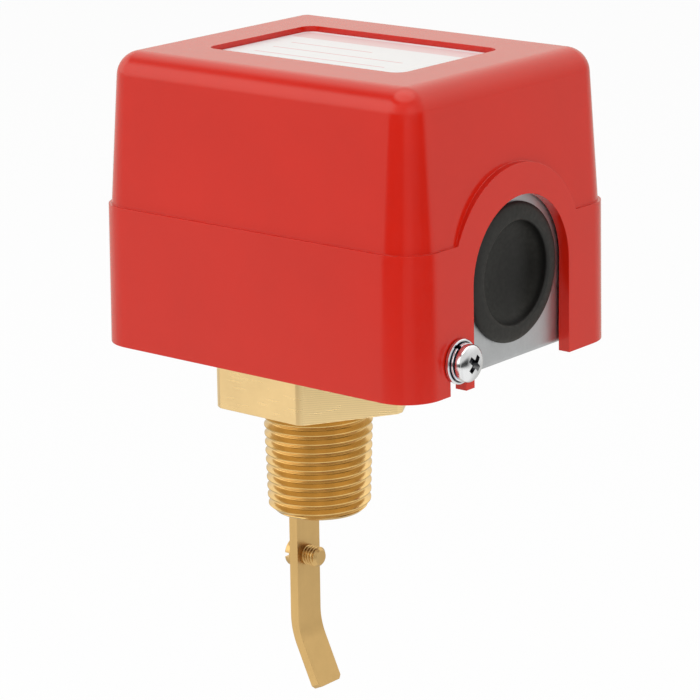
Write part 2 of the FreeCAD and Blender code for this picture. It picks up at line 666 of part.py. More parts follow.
def make_rivets():
    grip = "arm_thickness + stem_flat + stem_back"
    rivet = turned("arm_rivet", [
        ("0", "-rivet_head_height"), ("rivet_head * 0.6", "-rivet_head_height"),
        ("rivet_head", "-rivet_head_height * 0.3"), ("rivet_head", "0"), ("rivet_radius", "0"),
        ("rivet_radius", grip), ("rivet_head", grip), ("rivet_head", grip + " + rivet_head_height * 0.3"),
        ("rivet_head * 0.6", grip + " + rivet_head_height"), ("0", grip + " + rivet_head_height")])
    outer_face = "-stem_flat - arm_thickness"
    return copies("arm_rivets", rivet, [(outer_face, "0", height, ALONG_X)
                                        for height in ("rivet_upper", "rivet_upper - rivet_pitch")])


def make_paddle_screw():
    screw = pan_screw("paddle_screw", "paddle_screw_radius", "paddle_screw_length",
                      "paddle_head_radius", "paddle_head_height")
    return place(screw, "-stem_flat - arm_thickness", "0", "paddle_screw_height", AGAINST_X)


# ---------------------------------------------------------------- lever and pivot

def make_lever():
    """Pressed lever: a top plate with a tongue for the switch and two cheeks on the pivot pin."""
    lever = new_body("switch_lever")
    underside = "lever_top - sheet"
    tongue_end = PLUNGER_Y + " + tongue_overhang"
    plate = new_sketch(lever, lift=underside)
    polygon(plate, [
        ("lever_back", "-lever_half_width"), ("lever_reach", "-lever_half_width"),
        ("lever_reach", tongue_end), ("lever_reach - tongue_width", tongue_end),
        ("lever_reach - tongue_width", "lever_half_width"), ("lever_back", "lever_half_width")])
    pad(lever, plate, "sheet")
    fillet(lever, "sheet_corner * 0.5", lambda edge: upright(edge))
    for side in (False, True):
        cheek = new_sketch(lever, "XZ_Plane", lift="-cheek_inner" if side else "cheek_inner")
        arch(cheek, "0", "pivot_height", "cheek_radius", underside)
        pad(lever, cheek, "cheek_thickness", other_way=side)
    hole = new_sketch(lever, "XZ_Plane")
    circle(hole, "0", "pivot_height", "pin_radius + pin_running_gap")
    pocket(lever, hole, "lever_half_width * 3", both_ways=True)
    boss = new_sketch(lever, lift="lever_top")
    circle(boss, "range_x", "0", "spring_boss_radius")
    pad(lever, boss, "spring_boss_height")
    passage = new_sketch(lever, lift="lever_top + 1")
    circle(passage, "0", "0", "rod_radius")
    pocket(lever, passage, "sheet + 2")
    return lever


def make_rod_nut():
    nut = new_body("rod_nut", z="lever_top")
    outline = new_sketch(nut)
    hexagon(outline, "nut_flats")
    pad(nut, outline, "nut_height")
    hole = new_sketch(nut, lift="nut_height")
    circle(hole, "0", "0", "rod_radius")
    pocket(nut, hole, "nut_height")
    return nut


def make_pivot_bracket():
    """Square plate under the body screws with two ears turned up for the pivot pin."""
    bracket = new_body("pivot_bracket")
    base = "hex_height + sheet"
    plate = new_sketch(bracket, lift=base)
    rounded_box(plate, "pivot_plate_width", "pivot_plate_width", "sheet_corner")
    pad(bracket, plate, "sheet")
    window = new_sketch(bracket, lift=base + " + sheet")
    box_outline(window, "-ear_radius - sheet / 2", "ear_radius + sheet / 2", "-ear_inner", "ear_inner")
    for x, y in BODY_SCREWS:
        circle(window, x, y, "m4_radius + clearance_hole")
    pocket(bracket, window, "sheet")
    for side in (False, True):
        ear = new_sketch(bracket, "XZ_Plane", lift="-ear_inner" if side else "ear_inner")
        arch(ear, "0", "pivot_height", "ear_radius", base)
        pad(bracket, ear, "sheet", other_way=side)
    hole = new_sketch(bracket, "XZ_Plane")
    circle(hole, "0", "pivot_height", "pin_radius")
    pocket(bracket, hole, "ear_inner * 4", both_ways=True)
    return bracket


def make_pivot_pin():
    return turned("pivot_pin", [
        ("0", "-pin_half_length"), ("pin_radius - 0.3", "-pin_half_length"),
        ("pin_radius", "-pin_half_length + 0.3"), ("pin_radius", "pin_half_length - 0.3"),
        ("pin_radius - 0.3", "pin_half_length"), ("0", "pin_half_length")],
        z="pivot_height", rotation=ALONG_Y)


def make_pin_clips():
    clip = ring("pin_clip", "clip_radius", "pin_radius", "clip_thickness")
    near_side, far_side = "ear_inner + sheet", "-ear_inner - sheet - clip_thickness"
    return copies("pin_clips", clip, [("0", near_side, "pivot_height", ALONG_Y),
                                      ("0", far_side, "pivot_height", ALONG_Y)])


# ---------------------------------------------------------------- chassis and cable entry

def make_chassis():
    """Bent sheet: a base on the brass body, an arched end for the cable entry, a low end behind."""
    body = new_body("chassis")
    base = new_sketch(body, lift="hex_height")
    box_outline(base, "chassis_back", "chassis_front", "-chassis_width / 2", "chassis_width / 2")
    pad(body, base, "sheet")
    shoulder = new_sketch(body, "YZ_Plane", lift="chassis_front")
    box_outline(shoulder, "-chassis_width / 2", "chassis_width / 2",
                "hex_height", "hex_height + front_shoulder")
    pad(body, shoulder, "sheet", other_way=True)
    crown = new_sketch(body, "YZ_Plane", lift="chassis_front")
    arch(crown, "entry_y", "entry_height", "front_arch_radius", "hex_height + sheet")
    pad(body, crown, "sheet", other_way=True)
    rear = new_sketch(body, "YZ_Plane", lift="chassis_back")
    box_outline(rear, "-back_width / 2", "back_width / 2", "hex_height", "hex_height + back_height")
    pad(body, rear, "sheet")
    tops = (number("hex_height + front_shoulder"), number("hex_height + back_height"))
    sides = (number("chassis_width / 2"), number("back_width / 2"))
    fillet(body, "sheet_corner", lambda edge: near(edge.Length, number("sheet"))
           and any(near(edge.CenterOfMass.z, top) and near(abs(edge.CenterOfMass.y), side)
                   for top, side in zip(tops, sides)))
    low, front, back = number("hex_height"), number("chassis_front"), number("chassis_back")
    fillet(body, "bend_radius", lambda edge: level(edge, low) and near(edge.BoundBox.XLength, 0)
           and (near(edge.CenterOfMass.x, front) or near(edge.CenterOfMass.x, back)))
    holes = new_sketch(body, lift=BASE_TOP)
    circle(holes, "0", "0", "mouth_radius")
    for x, y in BODY_SCREWS:
        circle(holes, x, y, "m4_radius + clearance_hole")
    for x in (LEFT_FOOT, RIGHT_FOOT):
        circle(holes, x, "foot_screw_y", "m3_radius + thread_play")
    circle(holes, "earth_x", "earth_y", "m4_radius + thread_play")
    pocket(body, holes, "sheet")
    collars = ((False, "chassis_front - sheet", "front_slot_y"), (True, "chassis_back + sheet", "back_slot_y"))
    for rearward, face, y in collars:
        collar = new_sketch(body, "YZ_Plane", lift=face)
        circle(collar, y, COVER_SCREW_Z, "collar_radius")
        pad(body, collar, "collar_length", other_way=not rearward)
        thread = new_sketch(body, "YZ_Plane", lift=face)
        circle(thread, y, COVER_SCREW_Z, "m4_radius + thread_play")
        pocket(body, thread, "(sheet + collar_length) * 3", both_ways=True)
    entry = new_sketch(body, "YZ_Plane", lift="chassis_front")
    circle(entry, "entry_y", "entry_height", "grommet_waist")
    pocket(body, entry, "sheet")
    return body


def make_grommet():
    """Blind rubber grommet: a rim in front of the sheet, a lip behind it and a closed recess."""
    front = "grommet_rim_thickness"
    floor = front + " - grommet_depth"
    back = floor + " - membrane"
    lip = "-sheet - grommet_lip_thickness"
    return turned("cable_grommet", [
        ("0", back), ("grommet_waist - 0.5", back), ("grommet_waist - 0.2", lip),
        ("grommet_lip - 0.4", lip), ("grommet_lip", "-sheet"), ("grommet_waist", "-sheet"),
        ("grommet_waist", "0"), ("grommet_rim", "0"), ("grommet_rim", front + " * 0.5"),
        ("grommet_rim - 0.5", front), ("grommet_bore + 0.6", front), ("grommet_bore", front + " - 0.4"),
        ("grommet_bore", floor), ("0", floor)],
        "chassis_front", "entry_y", "entry_height", ALONG_X)


def make_earth_screw():
    screw = pan_screw("earth_screw", "m4_radius", "earth_screw_length", "m4_head", "m4_head_height")
    return place(screw, "earth_x", "earth_y", BASE_TOP + " + earth_washer_thickness")


def make_earth_washer():
    return ring("earth_washer", "earth_washer_radius", "m4_radius", "earth_washer_thickness",
                "earth_x", "earth_y", BASE_TOP)


def make_body_screws():
    screw = pan_screw("body_screw", "m4_radius", "body_screw_length", "m4_head", "m4_head_height")
    return copies("body_screws", screw, [(x, y, BASE_TOP + " + sheet", UPRIGHT) for x, y in BODY_SCREWS])


# ---------------------------------------------------------------- cover

def make_cover():
    """Moulded cover with a deeper skirt, a raised arch round the cable opening and open slots."""
    body = new_body("cover", "cover_x", "0", "cover_underside")
    lean = "skirt_height * tan(skirt_draft)"
    inset = lean + " + skirt_step"
    hood_height = "cover_height - skirt_height"
    skirt = new_sketch(body)
    rounded_box(skirt, "cover_length", "cover_width", "cover_corner")
    pad(body, skirt, "skirt_height", taper="-skirt_draft")
    hood = new_sketch(body, lift="skirt_height")
    rounded_box(hood, "cover_length - 2 * (%s)" % inset, "cover_width - 2 * (%s)" % inset,
                "cover_corner - (%s)" % inset)
    pad(body, hood, hood_height, taper="-hood_draft")
    fillet(body, "top_round", lambda edge: level(edge, number("cover_height")))
    band = new_sketch(body, "YZ_Plane", lift="cover_length / 2 - " + lean)
    arch(band, "0", "band_height", "band_radius", "skirt_height / 4")
    pad(body, band, "cover_wall * 3", other_way=True)

    hollow = new_sketch(body)
    rounded_box(hollow, "cover_length - 2 * cover_wall", "cover_width - 2 * cover_wall",
                "cover_corner - cover_wall")
    pocket(body, hollow, "skirt_height", taper="-skirt_draft", other_way=True)
    inner = "%s + cover_wall" % inset
    crown = new_sketch(body, lift="skirt_height")
    rounded_box(crown, "cover_length - 2 * (%s)" % inner, "cover_width - 2 * (%s)" % inner,
                "cover_corner - (%s)" % inner)
    pocket(body, crown, hood_height + " - cover_top_wall", taper="-hood_draft", other_way=True)
    ceiling = number("cover_height - cover_top_wall")
    fillet(body, "inner_round", lambda edge: level(edge, ceiling))

    entry_height = "entry_height - cover_underside"
    seat = "chassis_front + seat_gap - cover_x"
    for wide in (False, True):
        room = new_sketch(body, "YZ_Plane", lift=seat)
        if wide:
            side = "chassis_width / 2 + seat_side_gap"
            box_outline(room, "-(%s)" % side, side, "-1",
                        "hex_height + front_shoulder + seat_side_gap - cover_underside")
        else:
            arch(room, "entry_y", entry_height, "front_arch_radius + seat_side_gap", "-1")
        pocket(body, room, "cover_wall * 1.5")
    opening = new_sketch(body, "YZ_Plane", lift="cover_length / 2 + 1")
    arch(opening, "entry_y", entry_height, "opening_radius", "-1")
    pocket(body, opening, "cover_wall * 2 + 1")
    for rear, y in ((False, "front_slot_y"), (True, "back_slot_y")):
        slot = new_sketch(body, "YZ_Plane", lift=("-" if rear else "") + "(cover_length / 2 + 1)")
        arch(slot, y, "slot_height", "slot_width / 2", "-1")
        pocket(body, slot, "cover_wall * 2 + 1", other_way=rear)
    label = new_sketch(body, lift="cover_height")
    rounded_box(label, "label_length", "label_width", "label_corner")
    pocket(body, label, "label_depth")
    return body


def make_label():
    label = new_body("name_label", "cover_x", "0", "cover_underside + cover_height - label_depth")
    outline = new_sketch(label)
    rounded_box(outline, "label_length - 2 * label_gap", "label_width - 2 * label_gap",
                "label_corner - label_gap")
    pad(label, outline, "label_thickness")
    return label


def cover_screw_spots(standoff):
    """Both cover screw places, at a distance outside the cover's two ends."""
    outside = "cover_length / 2 + washer_gap + " + standoff
    return [("cover_x + " + outside, "front_slot_y", COVER_SCREW_Z, ALONG_X),
            ("cover_x - (%s)" % outside, "back_slot_y", COVER_SCREW_Z, AGAINST_X)]


def make_cover_screws():
    screw = pan_screw("cover_screw", "m4_radius", "cover_screw_length", "m4_head", "m4_head_height")
    return copies("cover_screws", screw,
                  cover_screw_spots("washer_thickness + spring_washer_thickness"))


def make_cover_washers():
    washer = ring("cover_washer", "washer_radius", "m4_radius", "washer_thickness")
    return copies("cover_washers", washer, cover_screw_spots("0"))


def make_spring_washers():
    washer = ring("spring_washer", "spring_washer_radius", "m4_radius", "spring_washer_thickness")
    return copies("cover_spring_washers", washer, cover_screw_spots("washer_thickness"))


# ---------------------------------------------------------------- range spring

def make_range_screw():
    """Captive adjusting screw: slotted head on the shelf, thread down through the spring seat."""
    seat = "shelf_top + face_gap"
    screw = turned("range_screw", [
        ("0", "range_screw_end"), ("m4_radius * 0.7", "range_screw_end"),
        ("m4_radius", "range_screw_end + m4_radius * 0.4"), ("m4_radius", seat),
        ("range_head_radius", seat), ("range_head_radius", seat + " + range_head_height - 0.6"),
        ("range_head_radius - 0.6", seat + " + range_head_height"), ("0", seat + " + range_head_height")],
        "range_x")
    slot = new_sketch(screw, lift=seat + " + range_head_height")
    box_outline(slot, "-range_head_radius - 1", "range_head_radius + 1",
                "-range_slot_width / 2", "range_slot_width / 2")
    pocket(screw, slot, "range_slot_depth")
    return screw


def make_range_ring():
    return ring("range_screw_ring", "ring_radius", "m4_radius", "ring_thickness",
                "range_x", "0", "shelf_top - sheet - face_gap - ring_thickness")


def make_spring_seat():
    """Threaded seat whose tab slides in the bracket's slot."""
    seat = new_body("spring_seat", "range_x", "0", "seat_top - seat_thickness")
    disc = new_sketch(seat)
    circle(disc, "0", "0", "seat_radius")
    pad(seat, disc, "seat_thickness")
    tab = new_sketch(seat)
    box_outline(tab, "-seat_tab_width / 2", "seat_tab_width / 2", "seat_radius / 2",
                "wall_y + sheet - face_gap")
    pad(seat, tab, "seat_thickness")
    boss = new_sketch(seat)
    circle(boss, "0", "0", "spring_boss_radius")
    pad(seat, boss, "spring_boss_height", other_way=True)
    hole = new_sketch(seat, lift="seat_thickness + 1")
    circle(hole, "0", "0", "m4_radius + turning_gap")
    pocket(seat, hole, "seat_thickness + spring_boss_height + 2")
    return seat


def make_range_spring():
    """Round wire coiled between the lever and the spring seat."""
    radius, wire = number("spring_radius"), number("spring_wire")
    low = number("lever_top + spring_wire + thread_play")
    height = number("seat_top - seat_thickness - spring_wire - thread_play") - low
    path = Part.makeHelix(height / number("spring_turns"), height, radius)
    section = Part.Wire([Part.Circle(Vector(radius, 0, 0), Vector(0, 1, 0), wire).toShape()])
    spring = DOC.addObject("Part::Feature", "range_spring")
    spring.Shape = Part.Wire(path).makePipeShell([section], True, True)
    spring.Label = "range_spring"
    spring.Placement = Placement(Vector(number("range_x"), 0, low), UPRIGHT)
    return spring


# ---------------------------------------------------------------- switch bracket

def make_switch_bracket():
    """Bent sheet on two feet that carries the switch and, on its shelf, the range screw."""
    body = new_body("switch_bracket")
    wall = new_sketch(body, "XZ_Plane", lift="-wall_y")
    shelf_left, shelf_right = "range_x - shelf_half_length", "range_x + shelf_half_length"
    left_leg, right_leg = "wall_left + left_leg", "wall_right - right_leg"
    polygon(wall, [
        ("wall_left", BASE_TOP), (left_leg, BASE_TOP), (left_leg, "wall_bottom"),
        (right_leg, "wall_bottom"), (right_leg, BASE_TOP), ("wall_right", BASE_TOP),
        ("wall_right", WALL_TOP), (shelf_right, WALL_TOP), (shelf_right, "shelf_top"),
        (shelf_left, "shelf_top"), (shelf_left, WALL_TOP), ("wall_left", WALL_TOP)])
    pad(body, wall, "sheet", other_way=True)
    feet = new_sketch(body, lift=BASE_TOP)
    box_outline(feet, "wall_left", left_leg, "wall_y", "foot_reach")
    box_outline(feet, right_leg, "wall_right", "wall_y", "foot_reach")
    pad(body, feet, "sheet")
    shelf = new_sketch(body, lift="shelf_top - sheet")
    box_outline(shelf, shelf_left, shelf_right, "-shelf_reach", "wall_y + sheet")
    pad(body, shelf, "sheet")
    fillet(body, "sheet_corner", lambda edge: near(edge.Length, number("sheet"))
           and (near(edge.CenterOfMass.z, number(WALL_TOP))
                and (near(edge.CenterOfMass.x, number("wall_left"))
                     or near(edge.CenterOfMass.x, number("wall_right")))
                or upright(edge) and (near(edge.CenterOfMass.y, number("foot_reach"))
                                      or near(edge.CenterOfMass.y, -number("shelf_reach")))))
    low, high = number(BASE_TOP), number("shelf_top")
    fillet(body, "bend_radius", lambda edge: near(edge.BoundBox.YLength, 0)
           and (level(edge, low) and near(edge.CenterOfMass.y, number("wall_y"))
                or level(edge, high) and near(edge.CenterOfMass.y, number("wall_y + sheet"))))
    feet_holes = new_sketch(body, lift=BASE_TOP + " + sheet")
    for x in (LEFT_FOOT, RIGHT_FOOT):
        circle(feet_holes, x, "foot_screw_y", "m3_radius + clearance_hole")
    pocket(body, feet_holes, "sheet")
    shelf_hole = new_sketch(body, lift="shelf_top")
    circle(shelf_hole, "range_x", "0", "m4_radius + turning_gap")
    pocket(body, shelf_hole, "sheet")
    wall_holes = new_sketch(body, "XZ_Plane", lift="-wall_y - sheet")
    half_tab = "(seat_tab_width / 2 + face_gap)"
    box_outline(wall_holes, "range_x - " + half_tab, "range_x + " + half_tab,
                "seat_top - seat_thickness - seat_travel - face_gap", "seat_top + face_gap")
    for side in SWITCH_SCREWS:
        circle(wall_holes, side, "switch_screw_height", "m4_radius + clearance_hole")
    pocket(body, wall_holes, "sheet", other_way=True)
    return body


def make_bracket_screws():
    screw = pan_screw("bracket_screw", "m3_radius", "foot_screw_length", "m3_head", "m3_head_height")
    return copies("bracket_screws", screw, [(x, "foot_screw_y", BASE_TOP + " + sheet", UPRIGHT)
                                            for x in (LEFT_FOOT, RIGHT_FOOT)])


# ---------------------------------------------------------------- snap-action switch

def switch_half(label, face, depth):
    """One half of the moulded case: a rounded slab between two planes, drilled for the screws."""
    body = new_body(label, "0", face)
    slab = new_sketch(body, "XZ_Plane")
    rounded_box(slab, "switch_length", "switch_height", "switch_corner",
                "switch_x", "switch_bottom + switch_height / 2")
    pad(body, slab, depth, other_way=True)
    holes = new_sketch(body, "XZ_Plane")
    for side in SWITCH_SCREWS:
        circle(holes, side, "switch_screw_height", "m4_radius + clearance_hole")
    pocket(body, holes, depth)
    return body


def make_switch_lid():
    return switch_half("switch_lid", SWITCH_FACE, "switch_lid")


def make_switch_case():
    """The deeper half of the case, with the plunger's guide and bore in its underside."""
    case = switch_half("switch_case", SWITCH_FACE + " + switch_lid", SWITCH_DEPTH + " - switch_lid")
    plunger_y = SWITCH_DEPTH + " / 2 - switch_lid"
    guide = new_sketch(case, lift="switch_bottom")
    circle(guide, "plunger_x", plunger_y, "plunger_guide_radius")
    pad(case, guide, "plunger_guide_height", other_way=True)
    bore = new_sketch(case, lift="switch_bottom - plunger_guide_height")
    circle(bore, "plunger_x", plunger_y, "plunger_radius + plunger_play")
    inside = "%s + plunger_length + plunger_travel + face_gap" % PLUNGER_TIP
    pocket(case, bore, "%s - switch_bottom + plunger_guide_height" % inside, other_way=True)
    return case


def make_plunger():
    return turned("switch_plunger", [
        ("0", "0"), ("plunger_radius * 0.5", "plunger_radius * 0.1"),
        ("plunger_radius * 0.85", "plunger_radius * 0.4"), ("plunger_radius", "plunger_radius"),
        ("plunger_radius", "plunger_length"), ("0", "plunger_length")],
        "plunger_x", PLUNGER_Y, PLUNGER_TIP)


def terminal_spots(x, height):
    """The common terminal at the -X end and two at the +X end, one above the other."""
    left, right = "switch_x - switch_length / 2", "switch_x + switch_length / 2"
    return [("%s - %s" % (left, x), PLUNGER_Y, "terminal_low + " + height, Rotation(Vector(0, 0, 1), 180)),
            ("%s + %s" % (right, x), PLUNGER_Y, "terminal_low + " + height, UPRIGHT),
            ("%s + %s" % (right, x), PLUNGER_Y, "terminal_low + terminal_rise + " + height, UPRIGHT)]


def make_terminals():
    terminal = new_body("terminal")
    blade = new_sketch(terminal)
    box_outline(blade, "0", "terminal_reach", "-terminal_width / 2", "terminal_width / 2")
    pad(terminal, blade, "terminal_thickness")
    fillet(terminal, "terminal_thickness", lambda edge: upright(edge)
           and near(edge.CenterOfMass.x, number("terminal_reach")))
    hole = new_sketch(terminal, lift="terminal_thickness")
    circle(hole, "terminal_reach / 2", "0", "m3_radius + thread_play")
    pocket(terminal, hole, "terminal_thickness")
    return copies("switch_terminals", terminal, terminal_spots("0", "0"))


def make_terminal_screws():
    screw = pan_screw("terminal_screw", "m3_radius", "terminal_screw_length", "m3_head", "m3_head_height")
    return copies("terminal_screws", screw, terminal_spots("terminal_reach / 2", "terminal_thickness"))


def make_switch_screws():
    length = "%s - wall_y + switch_nut_height" % SWITCH_FAR
    screw = pan_screw("switch_screw", "m4_radius", length, "m4_head", "m4_head_height")
    head_outwards = Rotation(Vector(1, 0, 0), 90)
    return copies("switch_screws", screw, [(x, "wall_y", "switch_screw_height", head_outwards)
                                           for x in SWITCH_SCREWS])


def make_switch_nuts():
    nut = new_body("switch_nut")
    outline = new_sketch(nut)
    hexagon(outline, "switch_nut_flats")
    pad(nut, outline, "switch_nut_height")
    hole = new_sketch(nut, lift="switch_nut_height")
    circle(hole, "0", "0", "m4_radius")
    pocket(nut, hole, "switch_nut_height")
    return copies("switch_nuts", nut, [(x, SWITCH_FAR, "switch_screw_height", ALONG_Y)
                                       for x in SWITCH_SCREWS])


# ---------------------------------------------------------------- build and write

NODES = [
    make_brass_body, make_gasket, make_bellows, make_stem, make_rod, make_arm, make_rivets,
    make_paddle_screw, make_lever, make_rod_nut, make_pivot_bracket, make_pivot_pin, make_pin_clips,
    make_chassis, make_grommet, make_earth_screw, make_earth_washer, make_body_screws,
    make_cover, make_label, make_cover_screws, make_cover_washers, make_spring_washers,
    make_range_screw, make_range_ring, make_spring_seat, make_range_spring,
    make_switch_bracket, make_bracket_screws, make_switch_lid, make_switch_case, make_plunger,
    make_terminals, make_terminal_screws, make_switch_screws, make_switch_nuts,
]


def main():
    nodes = [make() for make in NODES]
    DOC.recompute()
    for thing in DOC.Objects:
        if "Invalid" in thing.State or "Error" in thing.State:
            raise RuntimeError("%s did not build: %s" % (thing.Label, thing.State))
    for node in nodes:
        if node.Shape.isNull() or not node.Shape.isValid() or not node.Shape.Solids:
            raise RuntimeError("%s has no sound solid" % node.Label)
    os.makedirs("parts", exist_ok=True)
    for node in nodes:
        node.Shape.exportStep("parts/%s.step" % node.Label)
        box = node.Shape.BoundBox
        print("%-22s solids %d  volume %8.1f  x %6.1f %6.1f  y %6.1f %6.1f  z %6.1f %6.1f" % (
            node.Label, len(node.Shape.Solids), node.Shape.Volume,
            box.XMin, box.XMax, box.YMin, box.YMax, box.ZMin, box.ZMax))


main()
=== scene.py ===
import json
import math
from contextlib import contextmanager

import bmesh
import bpy
from bpy.props import FloatProperty, FloatVectorProperty, PointerProperty
from mathutils import Matrix, Vector


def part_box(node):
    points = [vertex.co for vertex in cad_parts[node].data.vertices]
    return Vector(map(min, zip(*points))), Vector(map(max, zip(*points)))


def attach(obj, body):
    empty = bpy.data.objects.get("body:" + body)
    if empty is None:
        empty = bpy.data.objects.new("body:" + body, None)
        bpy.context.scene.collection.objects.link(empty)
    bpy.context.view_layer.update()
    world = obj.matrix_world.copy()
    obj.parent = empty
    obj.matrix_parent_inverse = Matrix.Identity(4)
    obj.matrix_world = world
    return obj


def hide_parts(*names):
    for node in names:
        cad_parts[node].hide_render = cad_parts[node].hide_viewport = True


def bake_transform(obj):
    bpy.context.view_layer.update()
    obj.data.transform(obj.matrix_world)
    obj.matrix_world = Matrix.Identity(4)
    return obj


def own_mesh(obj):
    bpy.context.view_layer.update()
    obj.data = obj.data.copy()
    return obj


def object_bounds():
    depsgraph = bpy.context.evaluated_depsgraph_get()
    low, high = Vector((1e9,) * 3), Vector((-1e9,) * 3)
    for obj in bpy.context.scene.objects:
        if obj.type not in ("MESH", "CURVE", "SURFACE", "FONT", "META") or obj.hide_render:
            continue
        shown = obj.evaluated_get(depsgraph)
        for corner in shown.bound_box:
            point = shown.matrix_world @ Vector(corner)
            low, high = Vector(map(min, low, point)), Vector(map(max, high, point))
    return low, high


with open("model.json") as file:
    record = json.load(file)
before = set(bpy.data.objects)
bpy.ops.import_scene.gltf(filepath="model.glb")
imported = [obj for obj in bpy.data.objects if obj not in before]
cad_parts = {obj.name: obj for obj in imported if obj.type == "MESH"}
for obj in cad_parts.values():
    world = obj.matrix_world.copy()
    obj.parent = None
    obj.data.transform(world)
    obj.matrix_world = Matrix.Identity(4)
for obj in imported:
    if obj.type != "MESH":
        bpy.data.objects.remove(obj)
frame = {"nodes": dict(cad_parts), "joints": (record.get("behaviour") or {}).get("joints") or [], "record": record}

bl_info = {
    "name": "Paddle Flow Switch",
    "version": (1, 0, 0),
    "blender": (4, 5, 0),
    "location": "3D View > Sidebar > Flow Switch",
    "description": "Dresses the solids of a paddle flow switch with their finishes, threads and fasteners",
    "category": "Object",
}

MM = 0.001
WELD = 0.001 * MM
FLAT = math.radians(0.5)
FINE_EDGE = 0.08 * MM
M3_RADIUS, M4_RADIUS, M4_HOLE = 1.5 * MM, 2.0 * MM, 2.05 * MM
CAD_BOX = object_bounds()
RECORD = frame["record"]
BODY_OF = {node: body for body, nodes in RECORD["behaviour"]["bodies"].items() for node in nodes}
MOUNTS = {mount["name"]: mount for mount in RECORD["mounts"]}
JOINTS = {joint["name"]: joint for joint in frame["joints"]}
PIVOT = Vector(JOINTS["paddle_swing"]["pos_m"])
UP, AHEAD, ACROSS = Vector((0, 0, 1)), Vector((1, 0, 0)), Vector((0, 1, 0))


# ---------------------------------------------------------------- settings

def colour(name, description, value):
    return FloatVectorProperty(name=name, description=description, default=value,
                               subtype="COLOR", size=3, min=0, max=1)


def length(name, description, value):
    return FloatProperty(name=name, description=description, default=value, unit="LENGTH", precision=5)


class SwitchColours(bpy.types.PropertyGroup):
    cover: colour("Cover", "Moulded cover", (0.575, 0.0125, 0.0043))
    label: colour("Label", "Name label's ground", (0.80, 0.80, 0.81))
    stripe: colour("Stripe", "Stripe and rules printed on the label", (0.62, 0.10, 0.12))
    brass: colour("Brass", "Milled brass of the hexagon", (0.90, 0.66, 0.35))
    drawn: colour("Drawn brass", "Bar brass of the arm", (0.69, 0.46, 0.20))
    thread: colour("Thread brass", "Freshly cut brass of the pipe thread", (0.73, 0.50, 0.215))
    bronze: colour("Bronze", "Bellows", (0.66, 0.42, 0.22))
    zinc: colour("Zinc", "Plated screws, nuts and washers", (0.77, 0.80, 0.89))
    sheet: colour("Sheet steel", "Galvanised chassis and brackets", (0.565, 0.592, 0.655))
    steel: colour("Steel", "Bright steel pins, rod and springs", (0.60, 0.60, 0.61))
    rubber: colour("Rubber", "Grommet and gasket", (0.016, 0.016, 0.016))
    case: colour("Switch case", "Moulded case of the snap-action switch", (0.028, 0.024, 0.022))
    plunger: colour("Plunger", "Switch plunger", (0.50, 0.04, 0.03))


class SwitchSizes(bpy.types.PropertyGroup):
    cover_edge: length("Cover edge", "Widest rounding of the moulded cover's edges", 1.0 * MM)
    cover_plain: FloatProperty(name="Outer corners", description="Share of the rounding on plain outer edges",
                               default=0.45, subtype="FACTOR")
    cover_inner: FloatProperty(name="Inner corners", description="Share of the rounding in inner corners",
                               default=0.2, subtype="FACTOR")
    skirt_step: length("Skirt step", "How far the skirt stands out", 0.6 * MM)
    skirt_top: length("Skirt top", "Height of the step above the skirt", 40.8 * MM)
    hood_draft: FloatProperty(name="Hood draft", description="Lean of the walls above the skirt",
                              default=math.radians(4), subtype="ANGLE")
    cover_front: length("Cover front", "Distance of the face with the arch, less a margin", 38 * MM)
    arch_radius: length("Arch radius", "Raised arch round the cable opening", 20.1 * MM)
    arch_middle: length("Arch middle", "Height of the arch's centre", 32.8 * MM)
    sheet_edge: length("Sheet edge", "Rounding of sheet, bar and milled edges", 0.15 * MM)
    pipe_pitch: length("Pipe thread pitch", "14 threads to the inch", 25.4 / 14 * MM)
    pipe_depth: length("Pipe thread depth", "From crest to root", 1.10 * MM)
    pipe_gauge: length("Gauge length", "From the free end to the thread's basic radius", 8.2 * MM)
    pipe_taper: FloatProperty(name="Pipe taper", description="Loss of radius along the thread",
                              default=1 / 32)
    water_bore: length("Water bore", "Radius of the bore through the thread", 7.9 * MM)
    m4_pitch: length("M4 pitch", "Pitch of the M4 screws", 0.7 * MM)
    m3_pitch: length("M3 pitch", "Pitch of the M3 screws", 0.5 * MM)
    hexagon_chamfer: length("Hexagon chamfer", "Flat on the hexagon's upright edges", 1.1 * MM)
    hexagon_reach: length("Hexagon reach", "Upright edges further out than this get the flat", 19 * MM)
    sheet: length("Sheet", "Thickness of the chassis", 1.5 * MM)
    grommet_rim: length("Grommet rim", "Rim in front of the chassis", 1.25 * MM)
    grommet_dish: length("Grommet dish", "Radius of the dished membrane", 9.9 * MM)
    coil_middle: length("Coil middle", "Height at which the spring's two halves meet", 33.65 * MM)
    coil_radius: length("Coil radius", "Middle of the spring's wire", 4.0 * MM)
    wire: length("Wire", "Radius of the spring's wire", 0.45 * MM)
    coil_turns: FloatProperty(name="Coil turns", description="Turns of the spring", default=6.5)
    m4_head: length("M4 head", "Height of an M4 head", 2.1 * MM)
    m3_head: length("M3 head", "Height of an M3 head", 1.7 * MM)
    recess: length("Recess", "Width of a cross recess's slots", 1.05 * MM)
    slot: length("Slot", "Width of a screwdriver slot", 0.9 * MM)


